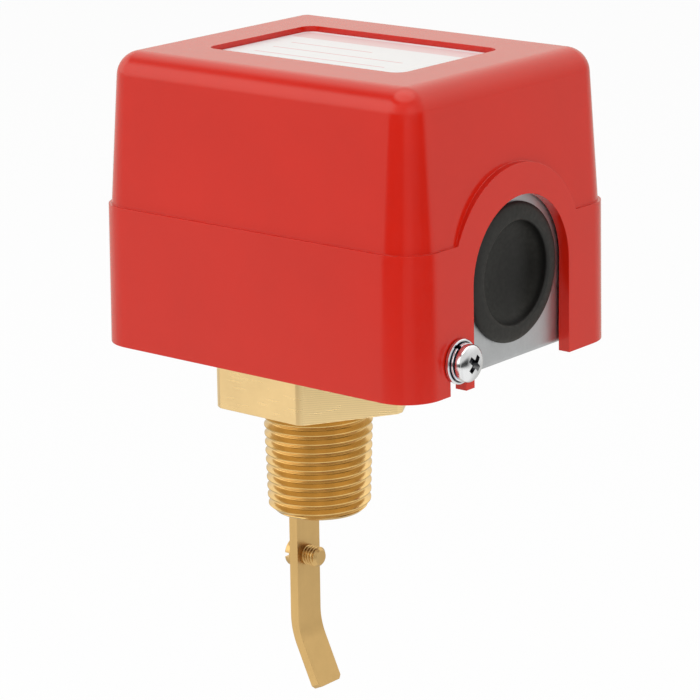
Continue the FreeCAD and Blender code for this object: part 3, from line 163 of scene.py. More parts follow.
class SwitchStudio(bpy.types.PropertyGroup):
    azimuth: FloatProperty(name="Azimuth", description="Turn of the camera about the switch",
                           default=math.radians(39.208), subtype="ANGLE")
    elevation: FloatProperty(name="Elevation", description="Height of the camera as an angle",
                             default=math.radians(15.557), subtype="ANGLE")
    roll: FloatProperty(name="Roll", description="Roll of the camera",
                        default=math.radians(-0.738), subtype="ANGLE")
    focal: FloatProperty(name="Focal length", description="Focal length on a 36 mm wide sensor",
                         default=159.26, unit="CAMERA")
    camera: FloatVectorProperty(name="Camera", description="Place of the camera",
                                default=(375.47 * MM, -450.08 * MM, 172.40 * MM),
                                subtype="TRANSLATION", unit="LENGTH")
    floor_drop: length("Floor drop", "Floor below the lowest point of the arm", 30 * MM)
    key: FloatProperty(name="Key light", description="Left softbox", default=4.6, unit="POWER")
    fill: FloatProperty(name="Fill light", description="Right softbox", default=4.4, unit="POWER")
    top: FloatProperty(name="Top light", description="Overhead softbox", default=3.0, unit="POWER")
    floor_white: FloatProperty(name="Floor white", description="How far the floor is lifted to white",
                               default=0.94, subtype="FACTOR")
    ambient: FloatProperty(name="Ambient", description="World's light on the object", default=0.42)


def settings():
    scene = bpy.context.scene
    return scene.switch_colours, scene.switch_sizes, scene.switch_studio


# ---------------------------------------------------------------- node trees

def feed(tree, socket, value):
    """Links a field or a socket to an input, or sets the input's plain value."""
    if isinstance(value, Field):
        value = value.socket
    if isinstance(value, bpy.types.NodeSocket):
        tree.links.new(value, socket)
    else:
        socket.default_value = value


def add(tree, kind, *feeds, named=None, **props):
    """Adds a node, sets its properties and feeds its inputs, in order or by name."""
    made = tree.nodes.new(kind)
    for key, value in props.items():
        setattr(made, key, value)
    pairs = [pair for pair in zip([s for s in made.inputs if s.enabled], feeds) if pair[1] is not None]
    pairs += [(made.inputs[key], value) for key, value in (named or {}).items()]
    for socket, value in pairs:
        feed(tree, socket, value)
    return made


class Field:
    """A number in a node tree. Arithmetic on it adds Math nodes."""

    def __init__(self, tree, socket):
        self.tree, self.socket = tree, socket

    def math(self, operation, *others):
        made = add(self.tree, "ShaderNodeMath", self, *others, operation=operation)
        return Field(self.tree, made.outputs[0])

    def __add__(self, other):
        return self.math("ADD", other)

    def __sub__(self, other):
        return self.math("SUBTRACT", other)

    def __mul__(self, other):
        return self.math("MULTIPLY", other)

    def __truediv__(self, other):
        return self.math("DIVIDE", other)

    def less(self, other):
        return self.math("LESS_THAN", other)

    def more(self, other):
        return self.math("GREATER_THAN", other)

    def rest(self):
        """What is left of 1."""
        return self * -1.0 + 1.0

    def ramp(self, low, high):
        """0 at low, 1 at high, held between the two."""
        made = add(self.tree, "ShaderNodeMapRange", self, low, high, 0.0, 1.0)
        return Field(self.tree, made.outputs[0])


def new_group(name, kind, inputs, outputs):
    """A node group with named inputs (name: (socket type, default)) and outputs (name: type)."""
    tree = bpy.data.node_groups.new(name, kind)
    for label, (socket_type, default) in inputs.items():
        socket = tree.interface.new_socket(label, in_out="INPUT", socket_type="NodeSocket" + socket_type)
        if default is not None:
            socket.default_value = default
    for label, socket_type in outputs.items():
        tree.interface.new_socket(label, in_out="OUTPUT", socket_type="NodeSocket" + socket_type)
    entry, leave = tree.nodes.new("NodeGroupInput"), tree.nodes.new("NodeGroupOutput")
    fields = {s.name: Field(tree, s) for s in entry.outputs if s.name}
    return tree, fields, leave


def apply_tree(piece, tree, values):
    """Runs a geometry tree on a piece with the given inputs, and leaves a plain mesh."""
    modifier = piece.modifiers.new(tree.name, "NODES")
    modifier.node_group = tree
    for item in tree.interface.items_tree:
        if item.in_out == "INPUT" and item.name in values:
            modifier[item.identifier] = values[item.name]
    return baked(piece)


# ---------------------------------------------------------------- meshes

def baked(piece):
    """The evaluated mesh of a working object, which is removed."""
    graph = bpy.context.evaluated_depsgraph_get()
    mesh = bpy.data.meshes.new_from_object(piece.evaluated_get(graph))
    bpy.data.objects.remove(piece)
    return mesh


@contextmanager
def editing(mesh):
    """Opens a mesh as a bmesh and writes it back."""
    bm = bmesh.new()
    bm.from_mesh(mesh)
    yield bm
    bm.to_mesh(mesh)
    bm.free()


def working(name, mesh):
    piece = bpy.data.objects.new(name, mesh)
    bpy.context.collection.objects.link(piece)
    return piece


def mesh_from(name, edit):
    """A mesh filled in by edit(bmesh), welded, with its faces turned outwards."""
    mesh = bpy.data.meshes.new(name)
    with editing(mesh) as bm:
        edit(bm)
        bmesh.ops.remove_doubles(bm, verts=bm.verts, dist=WELD)
        bmesh.ops.recalc_face_normals(bm, faces=bm.faces)
    return mesh


def welded(node):
    """A copy of a CAD node's triangles, welded, with its flat faces made whole."""
    mesh = frame["nodes"][node].data.copy()
    with editing(mesh) as bm:
        bmesh.ops.remove_doubles(bm, verts=bm.verts, dist=2 * WELD)
        bmesh.ops.dissolve_degenerate(bm, edges=bm.edges, dist=WELD)
        bmesh.ops.dissolve_limit(bm, angle_limit=FLAT, verts=bm.verts, edges=bm.edges)
    return mesh


def softened(mesh, width, steps=3, angle=32, share=None):
    """The mesh with its sharp edges rounded; share(edge) is the part of the width that an edge gets."""
    with editing(mesh) as bm:
        weight = bm.edges.layers.float.new("bevel_weight_edge")
        for edge in bm.edges:
            if len(edge.link_faces) == 2 and edge.calc_face_angle(0) > math.radians(angle):
                edge[weight] = share(edge) if share else 1.0
        for face in bm.faces:
            face.smooth = True
    piece = working("softened", mesh)
    bevel = piece.modifiers.new("Soft edges", "BEVEL")
    bevel.width, bevel.segments = width, steps
    bevel.limit_method = "WEIGHT"
    bevel.use_clamp_overlap = True
    bevel.miter_outer = "MITER_ARC"
    weight = piece.modifiers.new("Flat faces", "WEIGHTED_NORMAL")
    weight.keep_sharp = True
    return baked(piece)


def joined(mesh, tool, operation="DIFFERENCE"):
    """Two closed meshes combined."""
    piece, other = working("piece", mesh), working("tool", tool)
    cut = piece.modifiers.new("Cut", "BOOLEAN")
    cut.object, cut.operation, cut.solver = other, operation, "EXACT"
    result = baked(piece)
    bpy.data.objects.remove(other)
    return result


def block(low, high):
    """A plain closed box, used as a cutter."""
    def edit(bm):
        size, middle = Vector(high) - Vector(low), (Vector(high) + Vector(low)) / 2
        bmesh.ops.create_cube(bm, matrix=Matrix.Translation(middle) @ Matrix.Diagonal((*size, 1)))
    return mesh_from("block", edit)


def lathe(name, profile, segments=64):
    """A closed solid turned about Z from (radius, height) points."""
    def edit(bm):
        rings = []
        for radius, height in profile:
            if radius < 1e-9:
                rings.append([bm.verts.new((0, 0, height))] * segments)
                continue
            rings.append([bm.verts.new((radius * math.cos(2 * math.pi * i / segments),
                                        radius * math.sin(2 * math.pi * i / segments), height))
                          for i in range(segments)])
        closed = profile[0][0] > 1e-9
        pairs = list(zip(rings, rings[1:] + (rings[:1] if closed else [])))
        if not closed:
            pairs = pairs[:len(rings) - 1]
        for lower, upper in pairs:
            for i in range(segments):
                around = (i + 1) % segments
                corners = [lower[i], lower[around], upper[around], upper[i]]
                corners = [v for k, v in enumerate(corners) if v not in corners[:k]]
                if len(corners) > 2:
                    bm.faces.new(corners)
    return mesh_from(name, edit)


def rounded(points, radius, steps=4):
    """The profile with each corner replaced by a short arc."""
    result = [points[0]]
    for before, corner, after in zip(points, points[1:], points[2:]):
        spot = Vector(corner)
        back, ahead = Vector(before) - spot, Vector(after) - spot
        turn = math.pi - back.angle(ahead)
        reach = min(radius * math.tan(turn / 2), back.length * 0.45, ahead.length * 0.45)
        start, end = spot + back.normalized() * reach, spot + ahead.normalized() * reach
        for step in range(steps + 1):
            t = step / steps
            point = start * (1 - t) ** 2 + spot * 2 * t * (1 - t) + end * t ** 2
            result.append((point.x, point.y))
    return result + [points[-1]]


def pose_matrix(spot, axis):
    """Takes +Z at the origin to an axis at a spot."""
    return Matrix.Translation(spot) @ UP.rotation_difference(axis).to_matrix().to_4x4()


def finish_piece(name, mesh, material, nodes, replaces=True, rides=True, angle=32):
    """Shows a finished mesh as one piece, on the body of its CAD node, in place of that node."""
    if not mesh.has_custom_normals:
        mesh.shade_smooth()
        mesh.set_sharp_from_angle(angle=math.radians(angle))
    mesh.materials.clear()
    mesh.materials.append(finish(material))
    piece = working(name, mesh)
    mesh.name = name
    if rides:
        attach(piece, BODY_OF[nodes[0]])
    if replaces:
        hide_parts(*nodes)
    return piece


def edged(name, node, width, material):
    """A CAD node's own shape with its edges rounded, as a finished piece."""
    return finish_piece(name, softened(welded(node), width, 2), material, [node])


# ---------------------------------------------------------------- geometry trees

def thread_tree():
    """A screw thread about Z: it starts at z = 0 and ends at -Length, with flush ends."""
    tree, given, leave = new_group("Screw thread", "GeometryNodeTree", {
        "Radius": ("Float", 0.01), "Pitch": ("Float", 0.0018), "Depth": ("Float", 0.001),
        "Taper": ("Float", 0.0), "Length": ("Float", 0.02), "Chamfer": ("Float", 0.001),
        "Crest": ("Float", 0.2), "Segments": ("Int", 72), "Profile": ("Int", 20)},
        {"Geometry": "Geometry"})
    turns = (given["Length"] / given["Pitch"]).math("CEIL") + 2.0
    grid = add(tree, "GeometryNodeMeshGrid", 1.0, 1.0,
               turns * given["Segments"] + 1.0, given["Profile"] + 1.0)
    place = add(tree, "ShaderNodeSeparateXYZ", add(tree, "GeometryNodeInputPosition").outputs[0])
    turn = (Field(tree, place.outputs[0]) + 0.5) * turns
    across = Field(tree, place.outputs[1]) + 0.5
    rise = (turn + across) * given["Pitch"] - given["Length"] - given["Pitch"] * 1.5
    wave = (across * 2.0 - 1.0).math("ABSOLUTE")
    sunk = ((wave - given["Crest"]) / given["Crest"].rest()).math("MAXIMUM", 0.0)
    rooted = sunk * 1.12 - sunk.math("POWER", 9.0) * 0.12
    height = rise.math("MINIMUM", 0.0).math("MAXIMUM", given["Length"] * -1.0)
    full = given["Radius"] + height * given["Taper"]
    cut = full - given["Depth"] * rooted.math("MINIMUM", 1.0)
    end = given["Radius"] - given["Length"] * given["Taper"] - given["Depth"] - given["Chamfer"] * 0.3
    bevel = end + (height + given["Length"]) * 1.1
    radius = cut.math("MINIMUM", bevel)
    above, below = rise.more(-1e-9), rise.less(given["Length"] * -1.0 + 1e-9)
    top = given["Radius"] - given["Depth"]
    radius = radius * above.rest() + top * above
    radius = radius * below.rest() + end * below
    angle = turn * (2 * math.pi)
    spot = add(tree, "ShaderNodeCombineXYZ",
               angle.math("COSINE") * radius, angle.math("SINE") * radius, height)
    moved = add(tree, "GeometryNodeSetPosition",
                named={"Geometry": grid.outputs[0], "Position": spot.outputs[0]})
    merged = add(tree, "GeometryNodeMergeByDistance",
                 named={"Geometry": moved.outputs[0], "Distance": 2 * WELD})
    tree.links.new(merged.outputs[0], leave.inputs[0])
    return tree


def ended(tree, last, given, leave):
    """The tree with its last step's instances made real and given the material."""
    real = add(tree, "GeometryNodeRealizeInstances", last.outputs[0])
    dressed = add(tree, "GeometryNodeSetMaterial",
                  named={"Geometry": real.outputs[0], "Material": given["Material"]})
    tree.links.new(dressed.outputs[0], leave.inputs[0])
    return tree


def copies_tree():
    """Puts an object at every point of a mesh, along the point's axis and turned about it."""
    tree, given, leave = new_group("Copies", "GeometryNodeTree", {
        "Geometry": ("Geometry", None), "Object": ("Object", None), "Material": ("Material", None)},
        {"Geometry": "Geometry"})
    pattern = add(tree, "GeometryNodeObjectInfo", given["Object"])
    axis = add(tree, "GeometryNodeInputNamedAttribute", "axis", data_type="FLOAT_VECTOR")
    turn = add(tree, "GeometryNodeInputNamedAttribute", "turn", data_type="FLOAT")
    lean = add(tree, "FunctionNodeAlignRotationToVector",
               named={"Vector": axis.outputs[0]}, axis="Z")
    spin = add(tree, "FunctionNodeAxisAngleToRotation",
               named={"Axis": UP, "Angle": turn.outputs[0]})
    both = add(tree, "FunctionNodeRotateRotation",
               named={"Rotation": lean.outputs[0], "Rotate By": spin.outputs[0]}, rotation_space="LOCAL")
    placed = add(tree, "GeometryNodeInstanceOnPoints", named={
        "Points": given["Geometry"], "Instance": pattern.outputs["Geometry"], "Rotation": both.outputs[0]})
    return ended(tree, placed, given, leave)


def coil_tree():
    """A coil of round wire about Z, from z = 0 upwards."""
    tree, given, leave = new_group("Coil", "GeometryNodeTree", {
        "Radius": ("Float", 0.004), "Wire": ("Float", 0.0004), "Height": ("Float", 0.01),
        "Turns": ("Float", 5.0), "Material": ("Material", None)}, {"Geometry": "Geometry"})
    path = add(tree, "GeometryNodeCurveSpiral", named={
        "Resolution": 40, "Rotations": given["Turns"], "Start Radius": given["Radius"],
        "End Radius": given["Radius"], "Height": given["Height"]})
    section = add(tree, "GeometryNodeCurvePrimitiveCircle", named={"Resolution": 14, "Radius": given["Wire"]})
    swept = add(tree, "GeometryNodeCurveToMesh", named={
        "Curve": path.outputs[0], "Profile Curve": section.outputs[0], "Fill Caps": True})
    return ended(tree, swept, given, leave)


def tree_named(name, make):
    return bpy.data.node_groups.get(name) or make()


def copies(pattern, spots, material):
    """One mesh of a pattern at (place, axis, turn) spots."""
    seats = bpy.data.meshes.new("seats")
    seats.from_pydata([tuple(place) for place, axis, turn in spots], [], [])
    seats.attributes.new("axis", "FLOAT_VECTOR", "POINT")
    seats.attributes.new("turn", "FLOAT", "POINT")
    for i, (place, axis, turn) in enumerate(spots):
        seats.attributes["axis"].data[i].vector = Vector(axis)
        seats.attributes["turn"].data[i].value = turn
    source = working("pattern", pattern)
    mesh = apply_tree(working("copies", seats), tree_named("Copies", copies_tree),
                      {"Object": source, "Material": finish(material)})
    bpy.data.objects.remove(source)
    return mesh


def threaded(radius, pitch, depth, length, bore=0.0, taper=0.0, chamfer=0.3 * MM, crest=0.2,
             segments=72, profile=20):
    """A closed threaded bar or tube from z = 0 down to -length."""
    blank = working("thread", bpy.data.meshes.new("thread"))
    mesh = apply_tree(blank, tree_named("Screw thread", thread_tree), {
        "Radius": radius, "Pitch": pitch, "Depth": depth, "Taper": taper, "Length": length,
        "Chamfer": chamfer, "Crest": crest, "Segments": segments, "Profile": profile})

    def edit(bm):
        bm.from_mesh(mesh)
        bmesh.ops.dissolve_degenerate(bm, edges=bm.edges, dist=WELD)
        if not bore:
            bmesh.ops.holes_fill(bm, edges=[e for e in bm.edges if e.is_boundary])
            return
        rims = [e for e in bm.edges if e.is_boundary]
        inner = bmesh.ops.extrude_edge_only(bm, edges=rims)["geom"]
        for vertex in (v for v in inner if isinstance(v, bmesh.types.BMVert)):
            flat = Vector((vertex.co.x, vertex.co.y, 0)).normalized() * bore
            vertex.co = (flat.x, flat.y, vertex.co.z)
        bmesh.ops.bridge_loops(bm, edges=[e for e in inner if isinstance(e, bmesh.types.BMEdge)])
    return mesh_from("thread", edit)


# ---------------------------------------------------------------- shader groups and materials

def grain_group():
    """Fine mottling and its height, shared by every finish."""
    tree, given, leave = new_group("Fine grain", "ShaderNodeTree", {
        "Scale": ("Float", 800.0), "Stretch": ("Vector", (1.0, 1.0, 1.0)), "Detail": ("Float", 4.0)},
        {"Mask": "Float", "Height": "Float"})
    place = add(tree, "ShaderNodeTexCoord").outputs["Object"]
    stretched = add(tree, "ShaderNodeVectorMath", place, given["Stretch"], operation="MULTIPLY")
    noise = add(tree, "ShaderNodeTexNoise", named={
        "Vector": stretched.outputs[0], "Scale": given["Scale"], "Detail": given["Detail"]})
    spread = Field(tree, noise.outputs["Fac"]).ramp(0.3, 0.7)
    tree.links.new(spread.socket, leave.inputs["Mask"])
    tree.links.new(noise.outputs["Fac"], leave.inputs["Height"])
    return tree


def wear_group():
    """Broad tarnish and smudges that shift a colour a little."""
    tree, given, leave = new_group("Tarnish", "ShaderNodeTree", {
        "Colour": ("Color", (0.5, 0.5, 0.5, 1)), "Dark": ("Float", 0.85), "Scale": ("Float", 60.0)},
        {"Colour": "Color"})
    place = add(tree, "ShaderNodeTexCoord").outputs["Object"]
    noise = add(tree, "ShaderNodeTexNoise", named={
        "Vector": place, "Scale": given["Scale"], "Detail": 5.0, "Roughness": 0.6})
    mask = Field(tree, noise.outputs["Fac"]).ramp(0.35, 0.7)
    level = mask * given["Dark"].rest() + given["Dark"]
    shaded = add(tree, "ShaderNodeVectorMath", given["Colour"], operation="SCALE", named={"Scale": level})
    tree.links.new(shaded.outputs[0], leave.inputs["Colour"])
    return tree


def walls_group():
    """What a reflection finds in a direction: pale walls, a dark side behind the camera and a soft box."""
    tree, given, leave = new_group("Studio walls", "ShaderNodeTree", {
        "Direction": ("Vector", (0.0, 0.0, 1.0)), "Nearness": ("Float", 0.0)}, {"Level": "Float"})
    unit = add(tree, "ShaderNodeVectorMath", given["Direction"], operation="NORMALIZE")
    parts = add(tree, "ShaderNodeSeparateXYZ", unit.outputs[0])
    x, y, z = (Field(tree, parts.outputs[i]) for i in range(3))
    flat = (x * x + y * y).math("SQRT").math("MAXIMUM", 0.01)

    def facing(azimuth, low, high):
        turned = x * math.sin(math.radians(azimuth)) - y * math.cos(math.radians(azimuth))
        return (turned / flat).ramp(math.cos(math.radians(low)), math.cos(math.radians(high)))

    def under(low, high):
        return z.ramp(low, high).rest()

    left_wall = facing(-45, 80, 40) * 0.2
    back_wall = facing(200, 105, 20) * z.ramp(0.05, 0.5) * 0.6
    soft_box = facing(-45, 50, 30) * z.ramp(-0.02, 0.12) * under(0.60, 0.68) * 0.9
    gap = facing(-45, 60, 35) * z.ramp(0.66, 0.72) * under(0.80, 0.85) * 0.85
    overhead = z.ramp(0.82, 0.87) * 1.3
    level = back_wall + left_wall + 0.84 + soft_box - gap + overhead
    low = under(-0.02, 0.14)
    dark_side, chink = facing(45, 80, 66) * low * 0.95, facing(44, 16, 7) * low * 0.35
    level = level * dark_side.rest() + chink
    far_sides = facing(39, 112, 78).rest() * 0.42
    streaks = facing(39, 46, 32) * 0.12 - facing(39, 9, 4) * 0.10 + far_sides
    level = level + (level * -1.0 + 1.12 - streaks) * given["Nearness"]
    tree.links.new(level.socket, leave.inputs["Level"])
    return tree


def seen_rays(tree, reflected):
    """1 for camera rays, the walls' level for reflected and transmitted rays, and their warm tint."""
    path = add(tree, "ShaderNodeLightPath")
    bounced = Field(tree, path.outputs["Is Glossy Ray"]).math("MAXIMUM", path.outputs["Is Transmission Ray"])
    tint = add(tree, "ShaderNodeCombineColor", 1.0, bounced * -0.03 + 1.0, bounced * -0.13 + 1.0).outputs[0]
    return Field(tree, path.outputs["Is Camera Ray"]), bounced * reflected, tint


class Finish:
    """A material in the making: a Principled shader with grain, tarnish and a bump."""

    def __init__(self, name, base, roughness, metallic=0.0, **plain):
        self.material = bpy.data.materials.new(name)
        self.material.use_nodes = True
        self.tree = self.material.node_tree
        self.tree.nodes.clear()
        self.shader = add(self.tree, "ShaderNodeBsdfPrincipled")
        out = add(self.tree, "ShaderNodeOutputMaterial")
        self.tree.links.new(self.shader.outputs[0], out.inputs["Surface"])
        self.feed("Base Color", (*base, 1))
        self.feed("Roughness", roughness)
        self.feed("Metallic", metallic)
        for key, value in plain.items():
            self.feed(key.replace("_", " "), value)

    def feed(self, name, value):
        feed(self.tree, self.shader.inputs[name], value)

    def colour(self):
        return self.shader.inputs["Base Color"].links[0].from_socket

    def marks(self):
        """How far each face is marked as shade."""
        return add(self.tree, "ShaderNodeAttribute", attribute_name="shade").outputs["Fac"]

    def group(self, name, make, **values):
        made = self.tree.nodes.new("ShaderNodeGroup")
        made.node_tree = tree_named(name, make)
        for key, value in values.items():
            made.inputs[key].default_value = value
        return made

    def tarnish(self, base, dark, scale):
        worn = self.group("Tarnish", wear_group, Colour=(*base, 1), Dark=dark, Scale=scale)
        self.feed("Base Color", worn.outputs["Colour"])

    def grain(self, scale, stretch=(1, 1, 1), rough=(0.3, 0.4), bump=0.1, height=0.02 * MM):
        """Grain that varies roughness between two values and raises a bump."""
        made = self.group("Fine grain", grain_group, Scale=scale, Stretch=stretch)
        mask = Field(self.tree, made.outputs["Mask"])
        self.feed("Roughness", mask * (rough[1] - rough[0]) + rough[0])
        self.bump(made.outputs["Height"], bump, height)

    def bump(self, height, strength, distance):
        made = add(self.tree, "ShaderNodeBump", named={
            "Strength": strength, "Distance": distance, "Height": height})
        before = self.shader.inputs["Normal"].links
        if before:
            self.tree.links.new(before[0].from_socket, made.inputs["Normal"])
        self.tree.links.new(made.outputs[0], self.shader.inputs["Normal"])

    def place(self):
        parts = add(self.tree, "ShaderNodeSeparateXYZ",
                    add(self.tree, "ShaderNodeTexCoord").outputs["Object"])
        return [Field(self.tree, parts.outputs[i]) for i in range(3)]

    def mix(self, mask, first, second):
        """first where the mask is 0 and second where it is 1."""
        made = add(self.tree, "ShaderNodeMix", data_type="RGBA")
        feed(self.tree, made.inputs[0], mask)
        for index, value in ((6, first), (7, second)):
            linked = isinstance(value, (Field, bpy.types.NodeSocket))
            feed(self.tree, made.inputs[index], value if linked else (*value[:3], 1))
        return made.outputs[2]


def printed_label(name):
    """White film with a coloured stripe along one long edge and thin ruled lines."""
    colours = settings()[0]
    low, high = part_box("name_label")
    made = Finish(name, colours.label, 0.35)
    x, y, z = made.place()
    from_back = (y * -1.0 + high.y) / (high.y - low.y)
    from_left = (x - low.x) / (high.x - low.x)
    stripe = from_back.more(0.05) * from_back.less(0.22) * from_left.more(0.02) * from_left.less(0.98)
    rules = None
    for place, end in ((0.40, 0.55), (0.58, 0.80), (0.76, 0.80)):
        line = (from_back - place).math("ABSOLUTE").less(0.008)
        rule = line * from_left.more(0.12) * from_left.less(end)
        rules = rule if rules is None else rules + rule
    faded = [0.45 * c + 0.45 for c in colours.stripe]
    printed = made.mix(stripe * 0.85, colours.label, faded)
    made.feed("Base Color", made.mix(rules * 0.5, printed, colours.stripe))
    made.grain(700.0, rough=(0.30, 0.40), bump=0.05, height=0.01 * MM)
    return made.material


def cutter_lines_and_painted_light(made):
    """Milled faces with the cutter's wavy lines, on all but the smooth front one; these faces are painted
    brighter, partly as freshly cut brass and partly as painted light.
    """
    x, y, z = made.place()
    leant = z + x * 0.085 + y * 0.147
    wander = add(made.tree, "ShaderNodeTexNoise", named={
        "Vector": add(made.tree, "ShaderNodeTexCoord").outputs["Object"], "Scale": 240.0, "Detail": 2.0})
    phase = leant * (2 * math.pi / (0.37 * MM)) + Field(made.tree, wander.outputs["Fac"]) * 5.0
    # The faces behind the front one get the cutter's lines and a brighter colour, partly freshly cut brass and
    # partly painted light.
    milled = y.ramp(-18.0 * MM, -17.6 * MM)
    ridge = phase.math("SINE") * milled
    fresh_and_painted_light = made.mix(milled, made.colour(), (1.0, 0.77, 0.43))
    made.feed("Base Color", made.mix(ridge.ramp(0.5, 0.95) * 0.35, fresh_and_painted_light, (0.55, 0.38, 0.18)))
    made.bump(ridge.socket, 0.12, 0.02 * MM)


def painted_recess_shade(made):
    """Painted shade: a recess, whose faces are marked as shade, is darkened to a quarter of its colour."""
    recess_shade_colour = add(made.tree, "ShaderNodeVectorMath", made.colour(), operation="SCALE", named={"Scale": 0.25})
    made.feed("Base Color", made.mix(made.marks(), made.colour(), recess_shade_colour.outputs[0]))


def painted_dish_shadow(made):
    """Painted shadow: the side of a dish whose faces are marked as shade is painted black."""
    made.feed("Base Color", made.mix(made.marks(), made.colour(), (0.001, 0.001, 0.001)))


def surface(tint, dark, patches, grain, rough, bump, stretch=(1, 1, 1), metallic=1.0,
            height=0.02 * MM, extra=None, **plain):
    """A recipe for a tarnished and grained finish; extra(finish) adds what is special to it."""
    def make(name):
        base = getattr(settings()[0], tint)
        made = Finish(name, base, rough[0], metallic, **plain)
        made.tarnish(base, dark, patches)
        made.grain(grain, stretch, rough, bump, height)
        if extra:
            extra(made)
        return made.material
    return make


AROUND, ALONG_BAR, ALONG_SHEET = (1.0, 1.0, 3.0), (3.0, 3.0, 0.12), (0.3, 3.0, 3.0)
FINISHES = {
    "red plastic": surface("cover", 0.94, 45.0, 900.0, (0.16, 0.22), 0.03, metallic=0.0,
                           height=0.03 * MM, IOR=1.45),
    "printed label": printed_label,
    "milled brass": surface("brass", 0.90, 110.0, 500.0, (0.26, 0.34), 0.03, (0.4, 0.4, 3.0),
                            extra=cutter_lines_and_painted_light),
    "drawn brass": surface("drawn", 0.88, 70.0, 500.0, (0.28, 0.40), 0.18, ALONG_BAR),
    "turned brass": surface("thread", 0.88, 120.0, 900.0, (0.16, 0.26), 0.06, AROUND),
    "bronze": surface("bronze", 0.85, 120.0, 600.0, (0.28, 0.40), 0.12, AROUND),
    "bright zinc": surface("zinc", 0.92, 200.0, 900.0, (0.13, 0.22), 0.05, extra=painted_recess_shade),
    "sheet steel": surface("sheet", 0.90, 160.0, 500.0, (0.42, 0.55), 0.12, ALONG_SHEET),
    "bright steel": surface("steel", 0.90, 150.0, 800.0, (0.22, 0.34), 0.08, (1.0, 1.0, 4.0)),
    "black rubber": surface("rubber", 0.80, 80.0, 1200.0, (0.50, 0.66), 0.15, metallic=0.0,
                            extra=painted_dish_shadow, Specular_IOR_Level=0.33),
    "switch case": surface("case", 0.85, 100.0, 1000.0, (0.38, 0.5), 0.12, metallic=0.0),
    "switch plunger": surface("plunger", 0.85, 100.0, 1000.0, (0.38, 0.5), 0.12, metallic=0.0),
}


def finish(name):
    """The material of that name, made when it is first asked for."""
    return bpy.data.materials.get(name) or FINISHES[name](name)


# ---------------------------------------------------------------- fasteners

def cross_arm(reach, width, top, depth, turn):
    """One arm of a cross recess, which narrows downwards."""
    def edit(bm):
        shape = bmesh.ops.create_cube(bm, size=1)["verts"]
        for vertex in shape:
            upper = vertex.co.z > 0
            vertex.co.x *= 2 * reach * (1.1 if upper else 0.5)
            vertex.co.y *= width * (1.25 if upper else 0.8)
            vertex.co.z = top * 1.3 if upper else top - depth
        bmesh.ops.rotate(bm, verts=shape, matrix=Matrix.Rotation(turn, 3, "Z"))
    return mesh_from("cross", edit)


def drive_cutter(kind, head_radius, top, width, depth):
    """A cross or a slot to cut from a screw's head."""
    if kind == "slot":
        reach = head_radius * 1.2
        return block((-reach, -width / 2, top - depth), (reach, width / 2, top * 1.5))
    arms = [cross_arm(head_radius * 0.60, width, top, depth, turn) for turn in (0, math.pi / 2)]
    return joined(*arms, "UNION")


def screw(radius, under, head_radius, head_height, pitch, drive="cross", flat_head=False):
    """A machine screw with its seat at z = 0, its head above and its thread below."""
    sizes = settings()[1]
    if flat_head:
        outline = rounded([(0, 0), (head_radius, 0), (head_radius, head_height), (0, head_height)], 0.25 * MM)
    else:
        dome = [(head_radius * math.cos(t), head_height * (0.42 + 0.58 * math.sin(t)))
                for t in (math.pi / 2 * k / 10 for k in range(11))]
        outline = [(0.0, 0.0), (head_radius - 0.1 * MM, 0.0), (head_radius, 0.1 * MM)] + dome[:-1]
        outline.append((0.0, head_height))
    head = lathe("head", outline, 48)
    width = sizes.slot if drive == "slot" else sizes.recess
    cutter = drive_cutter(drive, head_radius, head_height, width * radius / (2 * MM), head_height * 0.6)
    head = joined(head, cutter)
    shank = threaded(radius, pitch, 0.61 * pitch, under, chamfer=0.3 * radius, segments=24, profile=10)

    def edit(bm):
        bm.from_mesh(head)
        bm.from_mesh(shank)

    # Faces sunk in the cross or slot are marked for painted shade.
    def sunk(spot, normal):
        reach = math.hypot(spot.x, spot.y)
        dome = head_height * (0.42 + 0.58 * math.sqrt(max(0.0, 1 - (reach / head_radius) ** 2)))
        return 0.2 * head_height < spot.z < dome - 0.06 * MM and reach < 0.75 * head_radius
    return marked(mesh_from("screw", edit), sunk)


def marked(mesh, test):
    """Marks faces as shade, as much as test(middle, normal) says."""
    mesh.attributes.new("shade", "FLOAT", "FACE")
    for face, mark in zip(mesh.polygons, mesh.attributes["shade"].data):
        mark.value = float(test(face.center, face.normal))
    return mesh


def split_washer(outer, inner, thickness, gap=14, lift=0.35):
    """A spring washer: a square-section ring cut once, with its ends sprung apart."""
    steps = 60

    def edit(bm):
        rings = []
        for i in range(steps + 1):
            turn = math.radians(gap / 2 + (360 - gap) * i / steps)
            rise = thickness * lift * (i / steps - 0.5)
            bottom, top = max(0.0, rise), min(thickness, thickness * 0.75 + rise)
            bottom = min(bottom, top - thickness * 0.6)
            rings.append([bm.verts.new((r * math.cos(turn), r * math.sin(turn), z))
                          for r, z in ((inner, bottom), (outer, bottom), (outer, top), (inner, top))])
        for here, there in zip(rings, rings[1:]):
            for k in range(4):
                bm.faces.new((here[k], here[(k + 1) % 4], there[(k + 1) % 4], there[k]))
        bm.faces.new(rings[0])
        bm.faces.new(rings[-1])
    return softened(mesh_from("washer", edit), 0.08 * MM, 2)


def cupped_washer(outer, inner, thickness):
    """A washer pressed down inside a rim, whose face inside the rim is marked for painted shade."""
    rim = outer - 0.35 * MM
    floor = thickness * 0.4
    mesh = lathe("washer", [(inner, 0), (outer - 0.1 * MM, 0), (outer, 0.1 * MM), (outer, thickness * 0.85),
                            (outer - 0.1 * MM, thickness), (rim, thickness), (rim - 0.15 * MM, floor),
                            (inner, floor)], 64)
    # The dished face inside the rim is marked for painted shade.
    return marked(mesh, lambda spot, normal: math.hypot(spot.x, spot.y) < rim and normal.z > 0.2)


